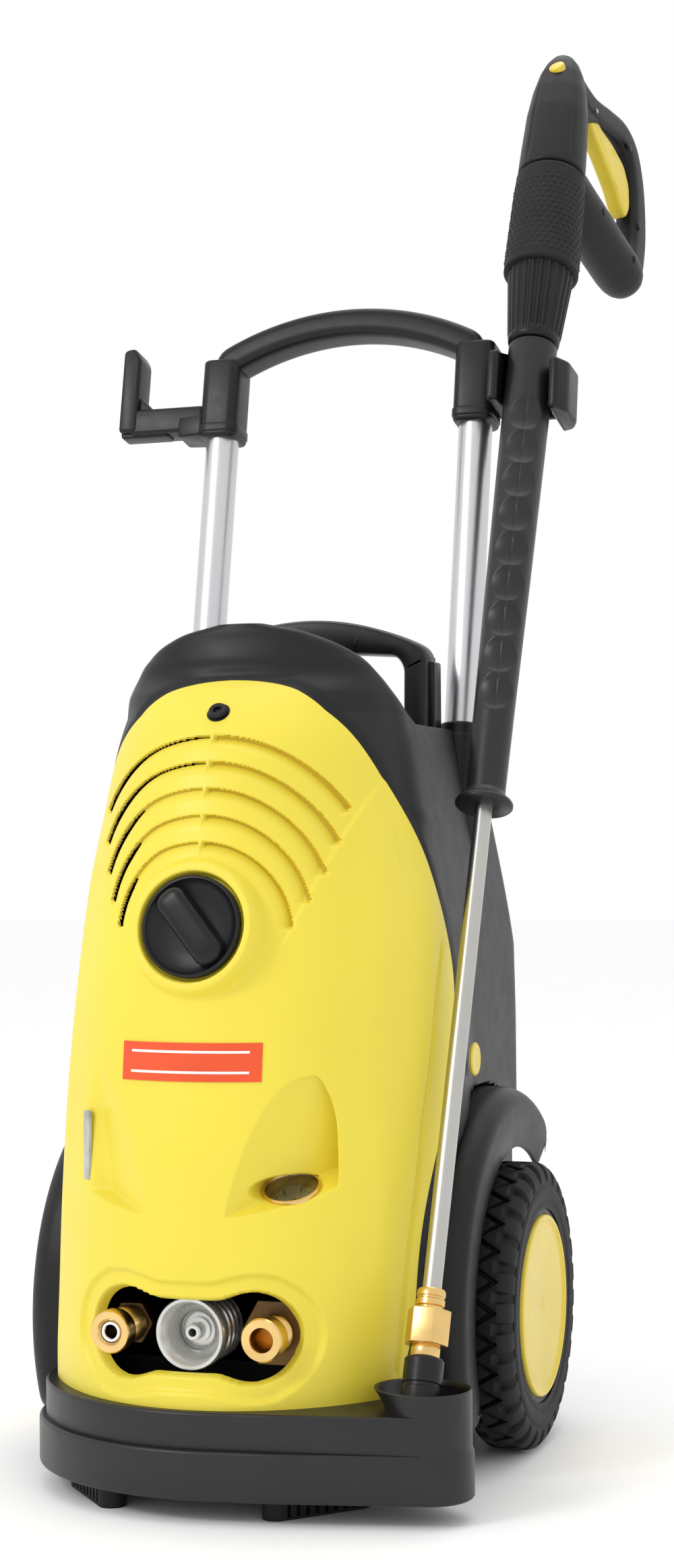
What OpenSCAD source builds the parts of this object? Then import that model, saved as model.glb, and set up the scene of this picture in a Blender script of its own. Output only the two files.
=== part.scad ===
// Upright professional pressure washer on two wheels, with its gun and lance parked beside the trolley handle.
// X points right, Y points back and Z points up. The floor is z = 0.
// Lengths are in millimetres. y is measured from a datum line across the casing, mid_y in front of its widest
// section; place() then moves the origin back to the middle of the machine's depth.

/* [Wheels] */
// Outer radius of the tyres
wheel_r = 110; // [106:1:111]
// Width of the tyres
tyre_w = 45; // [40:1:46]
// Distance from the middle of the machine to the outer face of a tyre
track_x = 192; // [190:1:196]
// Distance of the axle behind the casing's datum line
axle_y = 105; // [103:1:107]
// Diameter of the axle
axle_d = 12; // [10:1:12]

/* [Casing] */
// Wall thickness of the front cover and the rear housing
wall = 3.5; // [3:0.5:4]
// Width of the seam between the front cover and the rear housing
seam = 1.2; // [0.8:0.2:1.6]
// Height of the base tray's top edge above the floor
base_top = 76; // [74:1:77]
// Height of the base tray's underside above the floor
base_bottom = 16; // [14:1:18]

/* [Trolley handle] */
// Height of the top of the grip above the floor
handle_top = 925; // [915:1:935]
// Distance of each handle tube from the middle of the machine
tube_x = 113; // [112:0.5:114]
// Diameter of the handle tubes
tube_d = 28; // [26:1:28]
// Backward lean of the handle tubes in degrees
tube_lean = 11.6; // [11.4:0.1:11.8]

/* [Gun and lance] */
// Distance of the parked lance from the middle of the machine
lance_x = 162; // [161:0.5:163]
// Backward lean of the parked lance in degrees
lance_lean = 23.8; // [23.6:0.1:24]
// Diameter of the lance tube
lance_d = 13.6; // [12:0.2:14]

/* [Controls] */
// Diameter of the rotary switch's dish
knob_d = 75; // [70:1:78]
// Turn of the rotary switch's bar from upright, in degrees
knob_turn = -40; // [-45:1:0]

/* [Hidden] */
$fn = 48;

// Distance from the casing's datum line back to the middle of the machine's depth
origin_y = 144;

// The y of the casing's widest section and of its back, and its half width at the back
mid_y = 18;
back_y = 234;
back_side = 142;
// Height, half width and front y of the casing's outer skin, from the bottom to the crest
skin = [
    [base_top, 160, -175], [130, 158, -172], [210, 156, -167], [300, 151, -159], [360, 145, -151],
    [410, 139, -142], [470, 129, -131], [508, 122, -122], [530, 118, -114], [550, 114, -104],
    [566, 110, -92], [582, 105, -76], [596, 96.5, -60], [610, 84, -57], [622, 63, -54], [629, 43, -53],
    [634, 18, -52]
];
// Middle of the casing's widest section above the cover: the crest leans forward as it narrows
crest_mid = [[566, mid_y], [582, 0], [596, -9], [610, -18], [622, -34], [629, -41], [634, -45]];
// The side edge of the front cover, seen from the side: y and height from the bottom up
cover_edge = [
    [-90, 70], [-83, 99], [-73, 125], [-69, 150], [-64, 178], [-56, 205], [-44, 232], [-20, 275], [8, 330],
    [22, 375], [18, 402], [8, 435], [-2, 460], [-17, 484], [-31, 504], [-43.5, 524], [-54, 544], [-61.5, 560],
    [-67, 574], [-66.5, 584], [-64.5, 592]
];
// Inner side of the wheel arches, and the radii of the mudguards
arch_x = 134;
guard_x = 172;
guard_r = 168;
arch_r = 120;
axle_z = wheel_r;
tyre_x = track_x - tyre_w;

// Height of the deck where the handle tubes enter, and where the crest starts above it
deck_z = 554;
crest_z = 560;

// Trolley handle: y of a tube's axis at a height, and the heights of its ends
tube_y0 = 45;
function tube_y(z) = tube_y0 + z * tan(tube_lean);
tube_bottom = 400;
socket_bottom = 817;

// Parked lance: the tip, and distances along its axis from the tip
tip_z = 68;
tip_y = -141.7;
loop_turn = 13;
flange_s = 468;
nut_s = 887;
gun_s = 958;

// Middle of the lance cup
cup = [166, -126];
cup_r = 31;
cup_top = 91;
cup_floor = 63;

// Fittings behind the opening in the front cover
port_z = 125;
port_x = 57;
head_y = -108;

// Rotary switch, cover screw and pressure gauge: place, and upward tilt in degrees
knob_at = [0, -150, 411];
knob_tilt = 11;
screw_at = [0, -92, 565];
screw_tilt = 40;
gauge_at = [66, -126, 225];
gauge_tilt = 65;
gauge_r = 21;
badge_w = 106;
cap_at = [150.9, 50, 304];
window_at = [-89, -131, 252];

// Vents: how many, the width and depth of their ledges, and the width of their slots
vents = 5;
ledge_w = 8;
ledge_depth = 2;
slot_w = 5;

// Mudguards: the angles they start and end at, counted from straight back
guard_from = 53;
guard_to = 207;

// Base tray, feet and the posts that carry the motor
base_back = 236;
post_top = 118;
post_x = 70;
post_ys = [40, 165];
post_r = 11;
foot_at = [62, -152];
foot_l = 64;
rim_r = 74;
axle_half = 184;

// Grip
grip_bore = 50;
grip_screws = [-24, -8, 8, 24];
tube_top = socket_bottom + grip_bore * cos(tube_lean);
bush_r = tube_d / 2 + 4;
boss_l = 112;
arch_mid = handle_top - socket_bottom - 11;
arch_bend = 222;
clip_gap = 42;

// Motor and pump
drive_y = 75;
motor_z = post_top + 82;
motor_h = 190;
motor_r = 66;
shaft_r = 8.9;
pump_back = drive_y - 92;

// Fittings: length of the brass ones, radius and length of the coupling's bell, and radius of the stubs behind them
fitting_l = 59;
bell_r = 26;
bell_l = 50;
stub_r = 8.9;
stub_l = 12;

// Trigger pivot and the hose end of the gun's loop, as distance out of the gun and along the barrel
pivot = [48, 1167];
hose_end = [150, 1052];
rear_arm = [[8, 1176], [50, 1174], [84, 1186], [112, 1194], [134, 1187], [150, 1163], [161, 1125], [164, 1092],
    [156, 1060]];

module place() { translate([0, -origin_y, 0]) children(); }
module both_sides() { children(); mirror([1, 0, 0]) children(); }
module tube_frame(z) { translate([0, tube_y(z), z]) rotate([-tube_lean, 0, 0]) children(); }
// The same point on both handle tubes, measured along them from the deck
module on_tubes(h) { both_sides() tube_frame(deck_z) translate([tube_x, 0, h]) children(); }
module lance_frame() { translate([lance_x, tip_y, tip_z]) rotate([-lance_lean, 0, 0]) children(); }
// In the gun's loop frame, +X points out of the gun towards its hose end and +Z runs along the barrel
module loop_frame() { lance_frame() rotate([0, 0, 90 - loop_turn]) children(); }
// Faces forward: the frame's +Z points at a person in front of the machine
module facing(at, tilt = 0) { translate(at) rotate([90 - tilt, 0, 0]) children(); }

// A straight round bar between two points in the X-Z plane
module bar(a, b, r) {
    turn = atan2(b[0] - a[0], b[1] - a[1]);
    translate([a[0], 0, a[1]]) rotate([0, turn, 0]) cylinder(h = norm(b - a), r = r);
}
// A flat band of the given width and thickness along a path in the XZ plane
function side_of(p, i) = let(a = p[max(i - 1, 0)], b = p[min(i + 1, len(p) - 1)])
    [a[1] - b[1], b[0] - a[0]] / norm(b - a);
function band_outline(p, half) = concat(
    [for (i = [0 : len(p) - 1]) p[i] + side_of(p, i) * half],
    [for (i = [len(p) - 1 : -1 : 0]) p[i] - side_of(p, i) * half]);
module band(points, width, thickness) {
    translate([0, thickness / 2, 0]) rotate([90, 0, 0]) linear_extrude(thickness)
        polygon(band_outline(points, width / 2));
}
module ring(r_out, r_in, h) {
    difference() {
        cylinder(h = h, r = r_out);
        translate([0, 0, -1]) cylinder(h = h + 2, r = r_in);
    }
}
module rounded_rect(s) {
    for (w = [[s[0], s[1] - 12], [s[0] - 12, s[1]]]) square(w, center = true);
    for (x = [-1, 1], y = [-1, 1]) translate([x * (s[0] / 2 - 6), y * (s[1] / 2 - 6)]) circle(r = 6);
}
module hexagon(across, h) { cylinder(h = h, r = across / sqrt(3), $fn = 6); }

// One level of the casing: half an ellipse in front, straight sides and rounded corners behind
function level(w, mid, d, back, side, r) = concat(
    [for (i = [0 : 24]) [-w * cos(7.5 * i), mid - d * sin(7.5 * i)]],
    [for (a = [0 : 30 : 90]) [side - r + r * cos(a), back - r + r * sin(a)]],
    [for (a = [90 : 30 : 180]) [-side + r + r * cos(a), back - r + r * sin(a)]]);
// How far back the casing is at a height: a column that leans in, then the crest over the deck
function back_at(z) = z < 330 ? back_y : z < crest_z ? back_y - (z - 330) * 0.07
    : max(lookup(z, crest_mid) + 5, 58 - (z - crest_z) * 2.1);
module slice(row, inset) {
    z = row[0];
    mid = lookup(z, crest_mid);
    back = back_at(z) - inset;
    side = min(row[1], back_side) - inset;
    translate([0, 0, z - (z > crest_z ? inset : 0)]) linear_extrude(0.4)
        polygon(level(row[1] - inset, mid, mid - row[2] - inset, back, side, min(side * 0.6, back - mid, 24)));
}
module full_casing(inset) {
    for (i = [0 : len(skin) - 2]) hull() for (row = [skin[i], skin[i + 1]]) slice(row, inset);
}
// The casing with its sides cut back to make room for the wheels
module casing(inset) {
    difference() {
        full_casing(inset);
        both_sides() translate([arch_x - inset, axle_y, axle_z]) rotate([0, 90, 0])
            cylinder(h = 60, r = guard_r + 0.5 + inset);
    }
}
module behind_cover(gap) {
    translate([-250, 0, 0]) rotate([90, 0, 90]) linear_extrude(500)
        polygon(concat([for (p = cover_edge) [p[0] + gap, p[1]]], [[-40 + gap, 700], [400, 700], [400, 0], [-90, 0]]));
}

// Casing covers
// The vents are arcs above the switch, each lower and tighter than the last and turning further round it.
// On the left the upper two are slots all along and the others are slots at their lower ends.
module vent(k, from, w) {
    turn = 59 + 6.5 * k;
    translate([0, 435 - 8 * k, 0]) rotate([0, 0, 90 + from]) rotate_extrude(angle = turn - from)
        translate([116 - 11.5 * k - w, 0]) square([w, 150]);
}
module vent_slots() {
    for (k = [0 : vents - 1]) vent(k, k < 2 ? 2 : 23 + 6 * k, slot_w);
}
// On the right they are ledges pressed into the cover
module vent_ledges() {
    difference() {
        facing([0, 0, 0]) mirror([1, 0, 0]) for (k = [0 : vents - 1]) vent(k, 2, ledge_w);
        translate([0, ledge_depth, 0]) full_casing(0);
    }
}
// The scoop that the pressure gauge lies in
module scoop(grow) {
    hull() {
        for (at = [[84, -136, 304], [58, -156, 291], [30, -174, 208], [103, -136, 221], [98, -134, 286],
            [66, -122, 229], [90, -100, 238]])
            translate(at) sphere(r = 2 + grow, $fn = 20);
    }
}
module port_opening() {
    for (x = [-50, 50]) translate([x, port_z, 0]) cylinder(h = 220, r = 30.5);
    translate([-50, port_z - 25, 0]) cube([100, 50, 220]);
}
module front_cover() {
    color("gold") difference() {
        union() {
            difference() {
                casing(0);
                difference() {
                    casing(wall);
                    scoop(wall);
                }
            }
            facing(knob_at, knob_tilt) translate([0, 0, -20]) ring(knob_d / 2 + 9, knob_d / 2 + 1, 20);
        }
        behind_cover(-seam / 2);
        scoop(0);
        facing(gauge_at, gauge_tilt) translate([0, 0, -22]) cylinder(h = 30, r = gauge_r + 0.5);
        facing(knob_at, knob_tilt) translate([0, 0, -30]) cylinder(h = 40, r = 12);
        facing(gauge_at, gauge_tilt) translate([0, 0, -40]) cylinder(h = 30, r = 6.5);
        facing(screw_at, screw_tilt) {
            translate([0, 0, -25]) cylinder(h = 60, r = 3);
            translate([0, 0, 0.2]) cylinder(h = 20, r = 7.5);
        }
        facing([0, 0, 0]) {
            port_opening();
            vent_slots();
        }
        vent_ledges();
        translate(window_at) rotate([0, 0, -40]) cube([9.4, 14, 50.4], center = true);
    }
}
module cover_screw() {
    color("dimgray") facing(screw_at, screw_tilt) difference() {
        union() {
            translate([0, 0, 0.4]) cylinder(h = 4, r = 7);
            translate([0, 0, -18]) cylinder(h = 19, r = 2.6);
        }
        translate([0, 0, 2.4]) hexagon(6, 4);
    }
}
module badge() {
    color("orangered") intersection() {
        difference() {
            translate([0, -1.2, 0]) full_casing(0);
            full_casing(0);
        }
        translate([-badge_w / 2, -200, 302]) cube([badge_w, 100, 27]);
    }
}
module level_window() {
    color("lightgray") translate(window_at) rotate([0, 0, -40]) cube([9, 3, 50], center = true);
}

// Black rear housing, with the crest round the front cover, the deck behind it and a boss round each handle tube
module rear_housing() {
    color("dimgray") difference() {
        intersection() {
            union() {
                difference() {
                    casing(0);
                    casing(wall);
                }
                on_tubes(-boss_l) cylinder(h = boss_l + 1, r = bush_r + 2.5);
            }
            behind_cover(seam / 2);
        }
        on_tubes(-boss_l - 1) cylinder(h = boss_l + 60, r = tube_d / 2 + 0.5);
        on_tubes(-60) cylinder(h = 120, r = bush_r);
        translate([-200, axle_y, axle_z]) rotate([0, 90, 0]) cylinder(h = 400, r = axle_d / 2 + 0.4);
        translate([100, cap_at[1], cap_at[2]]) rotate([0, 90, 0]) cylinder(h = 100, r = 9);
    }
}
module arch_profile(half, top, round_r) {
    polygon(concat(
        [for (a = [-28 : 7 : 28]) [half * sin(a) / sin(28), top - round_r * (1 - cos(a))]],
        [[half + 8, top - 42], [half + 10, 540], [-half - 10, 540], [-half - 8, top - 42]]));
}
module carry_handle() {
    color("dimgray") difference() {
        translate([0, 136, 0]) rotate([90, 0, 0]) linear_extrude(30) difference() {
            arch_profile(90, 650, 170);
            arch_profile(68, 622, 25);
        }
        full_casing(0);
    }
}
// A mudguard: an open channel swept round the axle, with both ends closed
module guard_sweep(start, turn) {
    translate([0, axle_y, axle_z]) rotate([0, 90, 0]) rotate([0, 0, start + 90]) rotate_extrude(angle = turn)
        children();
}
module fender() {
    inner = arch_x + 0.3;
    guard_sweep(guard_from, guard_to - guard_from) polygon([
        [guard_r, inner], [guard_r, guard_x - 6], [guard_r - 6, guard_x], [arch_r, guard_x],
        [arch_r, guard_x - 4], [guard_r - 8, guard_x - 4], [guard_r - 4, guard_x - 8], [guard_r - 4, inner]]);
}
module fender_right() { color("dimgray") fender(); }
module fender_left() { color("dimgray") mirror([1, 0, 0]) fender(); }
module side_cap() {
    color("gold") translate(cap_at) rotate([0, 90, 0]) {
        translate([0, 0, 0.2]) cylinder(h = 2.4, r = 13);
        translate([0, 0, -10]) cylinder(h = 10.4, r = 8.7);
    }
}

// Base tray: two tiers, with the cup that the parked lance stands in
function base_outline(front, rest) = concat(
    [for (a = [8 : 8 : 100]) [-(154 - front) * cos(a), -50 - (137 - front) * sin(a)]],
    [[66, -180 + front], [cup[0] + 6.7, cup[1] - 30.2 + front], [cup[0], cup[1] + cup_r - front]],
    [[arch_x + 6 - rest, -62], [arch_x - rest, -60], [arch_x - rest, base_back - rest],
        [-arch_x + rest, base_back - rest], [-arch_x + rest, -60], [-148 + rest, -62]]);
module posts(low, high, r) {
    both_sides() for (y = post_ys) translate([post_x, y, low]) cylinder(h = high - low, r = r);
}
module base_tray() {
    color("dimgray") difference() {
        union() {
            translate([0, 0, base_bottom]) linear_extrude(34) polygon(base_outline(0, 0));
            translate([0, 0, base_bottom]) linear_extrude(base_top - base_bottom) polygon(base_outline(5, 0));
            translate([cup[0], cup[1], base_bottom]) cylinder(h = cup_top - base_bottom, r = cup_r);
            posts(base_bottom, post_top, post_r);
            both_sides() translate([112, axle_y - 16, base_bottom]) cube([14, 32, axle_z + 12 - base_bottom]);
        }
        difference() {
            translate([0, 0, base_bottom + 4]) linear_extrude(200) polygon(base_outline(19, 8));
            translate([cup[0], cup[1], 0]) cylinder(h = 200, r = cup_r);
            posts(0, post_top, post_r);
            both_sides() translate([112, axle_y - 16, 0]) cube([14, 32, axle_z + 12]);
        }
        translate([cup[0], cup[1], cup_floor]) cylinder(h = 60, r = cup_r - 3.5);
        translate([-200, axle_y, axle_z]) rotate([0, 90, 0]) cylinder(h = 400, r = axle_d / 2);
        both_sides() foot_bar(0.3, base_bottom - 10, base_bottom + 2);
    }
}
// A ribbed rubber foot lies diagonally under each front corner
module foot_bar(grow, low, high) {
    translate([foot_at[0], foot_at[1], low]) rotate([0, 0, 48]) linear_extrude(high - low) {
        translate([0, -10 - grow]) square([foot_l, 20 + 2 * grow]);
        circle(r = 10 + grow);
        translate([foot_l, 0]) circle(r = 10 + grow);
    }
}
module foot() {
    difference() {
        foot_bar(0, 0, base_bottom + 2);
        translate([foot_at[0], foot_at[1], 0]) rotate([0, 0, 48])
            for (i = [0 : 8]) translate([3 + i * 7.5, 0, 2]) difference() {
                translate([0, -12, 0]) cube([3, 24, base_bottom - 4]);
                translate([-1, -7, -1]) cube([5, 14, base_bottom]);
            }
    }
}
module foot_right() { color("black") foot(); }
module foot_left() { color("black") mirror([1, 0, 0]) foot(); }

// Wheels, each on its own end of the fixed axle
module on_axle() { translate([0, axle_y, axle_z]) rotate([0, 90, 0]) children(); }
module axle() {
    color("silver") on_axle() translate([0, 0, -axle_half]) cylinder(h = 2 * axle_half, r = axle_d / 2);
}
module tyre() {
    on_axle() translate([0, 0, tyre_x]) difference() {
        rotate_extrude() polygon([
            [rim_r, 2], [wheel_r - 14, 0], [wheel_r - 5, 3], [wheel_r, 9], [wheel_r, tyre_w - 9],
            [wheel_r - 5, tyre_w - 3], [wheel_r - 14, tyre_w], [rim_r, tyre_w - 2]]);
        for (i = [0 : 23]) rotate([0, 0, i * 15]) {
            translate([wheel_r - 4, -3, -1]) cube([8, 6, 12]);
            rotate([0, 0, 7.5]) translate([wheel_r - 4, -3, tyre_w - 11]) cube([8, 6, 12]);
        }
    }
}
module rim() {
    on_axle() translate([0, 0, tyre_x]) difference() {
        union() {
            ring(rim_r, rim_r - 4, tyre_w - 3);
            translate([0, 0, tyre_w / 2 - 2]) cylinder(h = 4, r = rim_r - 2);
            translate([0, 0, -4]) cylinder(h = axle_half - tyre_x - 1.6, r = 17);
            for (i = [0 : 4]) rotate([0, 0, i * 72]) translate([15, -2, 3]) cube([rim_r - 17, 4, tyre_w / 2]);
        }
        translate([0, 0, -20]) cylinder(h = 90, r = axle_d / 2 + 0.06);
    }
}
module hub_cap() {
    on_axle() translate([0, 0, track_x - 7]) rotate_extrude() polygon(concat(
        [[0, 4], [rim_r - 8, 1], [rim_r - 8, -6], [rim_r - 4, -6], [rim_r - 4, 3]],
        [for (i = [0 : 8]) [(rim_r - 6) * cos(i * 11.25), 4 + 4 * sin(i * 11.25)]]));
}
module tyre_right() { color("black") tyre(); }
module tyre_left() { color("black") mirror([1, 0, 0]) tyre(); }
module rim_right() { color("black") rim(); }
module rim_left() { color("black") mirror([1, 0, 0]) rim(); }
module hub_cap_right() { color("gold") hub_cap(); }
module hub_cap_left() { color("gold") mirror([1, 0, 0]) hub_cap(); }
module axle_clips() {
    color("silver") both_sides() on_axle() translate([0, 0, axle_half - 4]) ring(10, axle_d / 2, 1.6);
}

// Trolley handle: two tubes that slide into the housing, joined by the grip
module handle_tube() {
    length = (tube_top - tube_bottom) / cos(tube_lean);
    tube_frame(tube_bottom) translate([tube_x, 0, 0]) ring(tube_d / 2, tube_d / 2 - 1.5, length);
}
module handle_tube_right() { color("silver") handle_tube(); }
module handle_tube_left() { color("silver") mirror([1, 0, 0]) handle_tube(); }
module tube_bushes() {
    color("black") on_tubes(-34) ring(bush_r - 0.1, tube_d / 2 + 0.08, 44);
}
// The grip's frame starts at the foot of the sockets and leans with the tubes
module grip_frame() { tube_frame(socket_bottom) children(); }
module arch_sweep(r, from, to) {
    translate([0, 0, arch_mid - arch_bend]) rotate([90, 0, 0]) rotate([0, 0, from]) rotate_extrude(angle = to - from)
        translate([arch_bend, 0]) rounded_rect(r);
}
module handle_grip() {
    half_turn = asin(tube_x / arch_bend);
    color("dimgray") grip_frame() difference() {
        union() {
            arch_sweep([26, 32], 90 - half_turn, 90 + half_turn);
            both_sides() translate([tube_x, 0, 0]) linear_extrude(72) rounded_rect([34, 36]);
        }
        both_sides() translate([tube_x, 0, -1]) cylinder(h = grip_bore + 1, r = tube_d / 2);
        for (a = grip_screws) grip_screw_frame(a) translate([0, 0, -1]) cylinder(h = 9, r = 3.4);
    }
}
module grip_screw_frame(a) {
    translate([0, 0, arch_mid - arch_bend]) rotate([0, a, 0]) translate([0, 0, arch_bend - 13]) children();
}
module handle_screws() {
    color("gray") grip_frame() for (a = grip_screws) grip_screw_frame(a)
        translate([0, 0, 3]) cylinder(h = 5, r = 3.2);
}
module hose_hook() {
    color("dimgray") grip_frame() {
        translate([-193, -12, 8]) cube([193 - tube_x - 17, 26, 24]);
        translate([-207, -14, 10]) cube([18, 28, 66]);
        translate([-207, 14, 76]) rotate([90, 0, 0]) linear_extrude(28) polygon([[0, 0], [18, 0], [18, 4], [8, 14], [0, 10]]);
    }
}
module lance_clip() {
    color("dimgray") grip_frame() difference() {
        translate([tube_x + 17, -40, 8]) cube([78, 60, 44]);
        translate([lance_x - clip_gap / 2, -41, 7]) cube([clip_gap, 53, 46]);
        translate([tube_x + 16, -41, 7]) cube([4, 20, 46]);
        translate([tube_x + 30, 24, 7]) rotate([0, 0, -30]) translate([60, -10, 0]) cube([60, 60, 46]);
    }
}

// Rotary switch
module switch_knob() {
    color("black") facing(knob_at, knob_tilt) {
        translate([0, 0, -6]) cylinder(h = 4, r = knob_d / 2 - 0.5);
        translate([0, 0, -6]) ring(knob_d / 2 - 0.5, knob_d / 2 - 4, 7);
        rotate([0, 0, -knob_turn]) translate([-12, 4.5 - knob_d / 2, -4]) cube([24, knob_d - 9, 12]);
        translate([0, 0, -24]) cylinder(h = 20, r = 5);
    }
}
module switch_body() {
    color("darkslategray") facing(knob_at, knob_tilt) difference() {
        union() {
            translate([-26, -26, -64]) cube([52, 52, 38]);
            translate([0, 0, -27]) cylinder(h = 18, r = 11.6);
        }
        translate([0, 0, -26]) cylinder(h = 20, r = 5.05);
    }
}

// Pressure gauge: it lies in the scoop and faces up towards the user
module gauge_frame() { facing(gauge_at, gauge_tilt) children(); }
module gauge_case() {
    color("darkgoldenrod") gauge_frame() difference() {
        union() {
            translate([0, 0, -16]) cylinder(h = 18, r = gauge_r);
            translate([0, 0, -34]) cylinder(h = 18, r = 6);
        }
        translate([0, 0, -13]) cylinder(h = 20, r = gauge_r - 2);
    }
}
module gauge_dial() {
    color("white") gauge_frame() translate([0, 0, -12.8]) ring(gauge_r - 2.4, 1.2, 1);
}
module gauge_needle() {
    color("black") gauge_frame() rotate([0, 0, 135]) {
        translate([0, 0, -12.9]) cylinder(h = 3.6, r = 1);
        translate([0, 0, -10.6]) cylinder(h = 1.4, r = 2.4);
        translate([-0.6, -5, -10.3]) cube([1.2, gauge_r - 1, 0.8]);
    }
}
module gauge_lens() {
    color("lightblue") gauge_frame() translate([0, 0, -1.4]) cylinder(h = 2, r = gauge_r - 2.05);
}

// Motor and pump, standing on a steel bracket inside the casing
module drive(z) { translate([0, drive_y, z]) children(); }
module motor_bracket() {
    color("silver") difference() {
        translate([-90, 28, post_top]) cube([180, 150, 4]);
        drive(post_top - 1) cylinder(h = 6, r = 20);
        posts(post_top - 1, post_top + 5, 3.3);
    }
}
module crankcase() {
    color("gainsboro") difference() {
        union() {
            drive(post_top + 4) cylinder(h = 78, r = 58);
            drive(post_top + 78) cylinder(h = 4, r = 72);
            translate([-45, pump_back, post_top + 10]) cube([90, 60, 58]);
        }
        drive(post_top + 10) cylinder(h = 80, r = 14);
    }
}
module pump_head() {
    color("peru") difference() {
        translate([-75, head_y, 98]) cube([150, pump_back - head_y, 54]);
        facing([0, head_y + 18, port_z]) for (x = [-port_x, 0, port_x]) translate([x, 0, 0]) cylinder(h = 30, r = 9);
    }
}
module motor_housing() {
    color("gray") difference() {
        union() {
            drive(motor_z) cylinder(h = motor_h, r = motor_r);
            for (i = [0 : 17]) drive(motor_z + 12) rotate([0, 0, i * 20]) translate([motor_r - 2, -1.5, 0])
                cube([8, 3, motor_h - 24]);
        }
        drive(motor_z + 6) cylinder(h = motor_h - 12, r = motor_r - 6);
        drive(motor_z - 1) cylinder(h = motor_h + 2, r = 9);
    }
}
module motor_shaft() {
    color("silver") {
        drive(post_top + 14) cylinder(h = motor_z + motor_h + 22 - post_top - 14, r = shaft_r);
        drive(motor_z + 30) cylinder(h = motor_h - 60, r = 34);
        drive(post_top + 16) cylinder(h = 12, r = 13);
    }
}
module cooling_fan() {
    color("dimgray") drive(motor_z + motor_h + 4) {
        ring(16, shaft_r, 16);
        ring(62, 14, 2);
        for (i = [0 : 7]) rotate([0, 0, i * 45]) translate([15, -1.5, 1]) cube([45, 3, 15]);
    }
}
module capacitor() {
    color("lightgray") {
        translate([0, 190, 290]) cylinder(h = 90, r = 20);
        for (x = [-6, 6]) translate([x - 1.5, 188, 379]) cube([3, 4, 10]);
        translate([-8, 205, 320]) cube([16, back_y - wall - 207.5, 30]);
    }
}
// The end of a fitting that sits in the pump head
module stub() { translate([0, 0, -stub_l]) cylinder(h = stub_l, r = stub_r); }
module outlet_fitting() {
    color("goldenrod") facing([-port_x, head_y, port_z]) difference() {
        union() {
            cylinder(h = fitting_l, r = 12.5);
            hexagon(30, 20);
            translate([0, 0, fitting_l - 13]) cylinder(h = 13, r = 15.5);
            stub();
        }
        translate([0, 0, -13]) cylinder(h = 80, r = 7.5);
    }
}
module outlet_insert() {
    color("silver") facing([-port_x, head_y, port_z]) translate([0, 0, 30]) ring(7.5, 4.5, 27);
}
module inlet_coupling() {
    color("silver") facing([0, head_y, port_z]) difference() {
        union() {
            cylinder(h = bell_l, r = 20);
            for (i = [0 : 3]) translate([0, 0, 7 + i * 8]) cylinder(h = 3.4, r = bell_r - 1);
            translate([0, 0, bell_l - 10]) cylinder(h = 10, r = bell_r);
            stub();
        }
        translate([0, 0, 26]) cylinder(h = 6.1, r = 12.5);
        translate([0, 0, 32]) cylinder(h = bell_l - 31.9, r1 = 12.5, r2 = bell_r - 3.5);
        translate([0, 0, -13]) cylinder(h = 50, r = 6);
    }
}
module inlet_nipple() {
    color("silver") facing([0, head_y, port_z]) difference() {
        union() {
            translate([0, 0, 20]) cylinder(h = 6.1, r = 5.95);
            translate([0, 0, 26]) cylinder(h = 18, r = 6);
            translate([0, 0, 26]) cylinder(h = 3, r = 12.4);
        }
        translate([0, 0, 19]) cylinder(h = 30, r = 3);
    }
}
module bypass_fitting() {
    color("goldenrod") facing([port_x, head_y, port_z]) difference() {
        union() {
            cylinder(h = fitting_l, r = 12);
            translate([0, 0, fitting_l - 15]) cylinder(h = 15, r = 15.5);
            stub();
        }
        translate([0, 0, 20]) cylinder(h = 40, r = 8);
    }
}
module unloader_valve() {
    color("goldenrod") facing([port_x, head_y, port_z]) difference() {
        hexagon(44, 30);
        translate([0, 0, -1]) cylinder(h = 40, r = 12.1);
    }
}
module pressure_pipe() {
    color("peru") {
        for (x = [-port_x, port_x]) translate([x, -80, 152]) cylinder(h = 44, r = 6);
        for (x = [-port_x, port_x]) translate([x, -80, 196]) sphere(r = 6);
        translate([port_x, -80, 196]) rotate([0, -90, 0]) cylinder(h = 2 * port_x, r = 6);
    }
}

// Lance
module nozzle() {
    color("black") lance_frame() difference() {
        union() {
            translate([0, 0, 12]) cylinder(h = 34, r = 14);
            cylinder(h = 12.1, r1 = 8.5, r2 = 14);
        }
        translate([0, 0, -1]) cylinder(h = 30, r = 2.5);
    }
}
module nozzle_union() {
    color("goldenrod") lance_frame() difference() {
        union() {
            translate([0, 0, 46]) cylinder(h = 10, r = 10.4);
            translate([0, 0, 55]) hexagon(28, 25);
            translate([0, 0, 80.5]) cylinder(h = 14, r = 10.2);
            translate([0, 0, 79]) cylinder(h = 3, r = 9);
        }
        translate([0, 0, 45]) cylinder(h = 21, r = 5);
        translate([0, 0, 64]) cylinder(h = 40, r = lance_d / 2);
    }
}
module lance_tube() {
    color("silver") lance_frame() translate([0, 0, 64])
        ring(lance_d / 2, lance_d / 2 - 2.2, nut_s + 12 - 64);
}
module lance_grip() {
    color("dimgray") lance_frame() difference() {
        union() {
            translate([0, 0, flange_s]) cylinder(h = 5, r1 = 22.4, r2 = 20.5);
            translate([0, 0, flange_s + 5]) cylinder(h = 78, r1 = 15.2, r2 = 16);
            translate([0, 0, flange_s + 83]) cylinder(h = 108, r1 = 16, r2 = 17.7);
            translate([0, 0, flange_s + 191]) cylinder(h = nut_s - flange_s - 193, r1 = 17.7, r2 = 20.3);
        }
        translate([0, 0, flange_s - 1]) cylinder(h = nut_s - flange_s + 10, r = lance_d / 2);
    }
}
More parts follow.
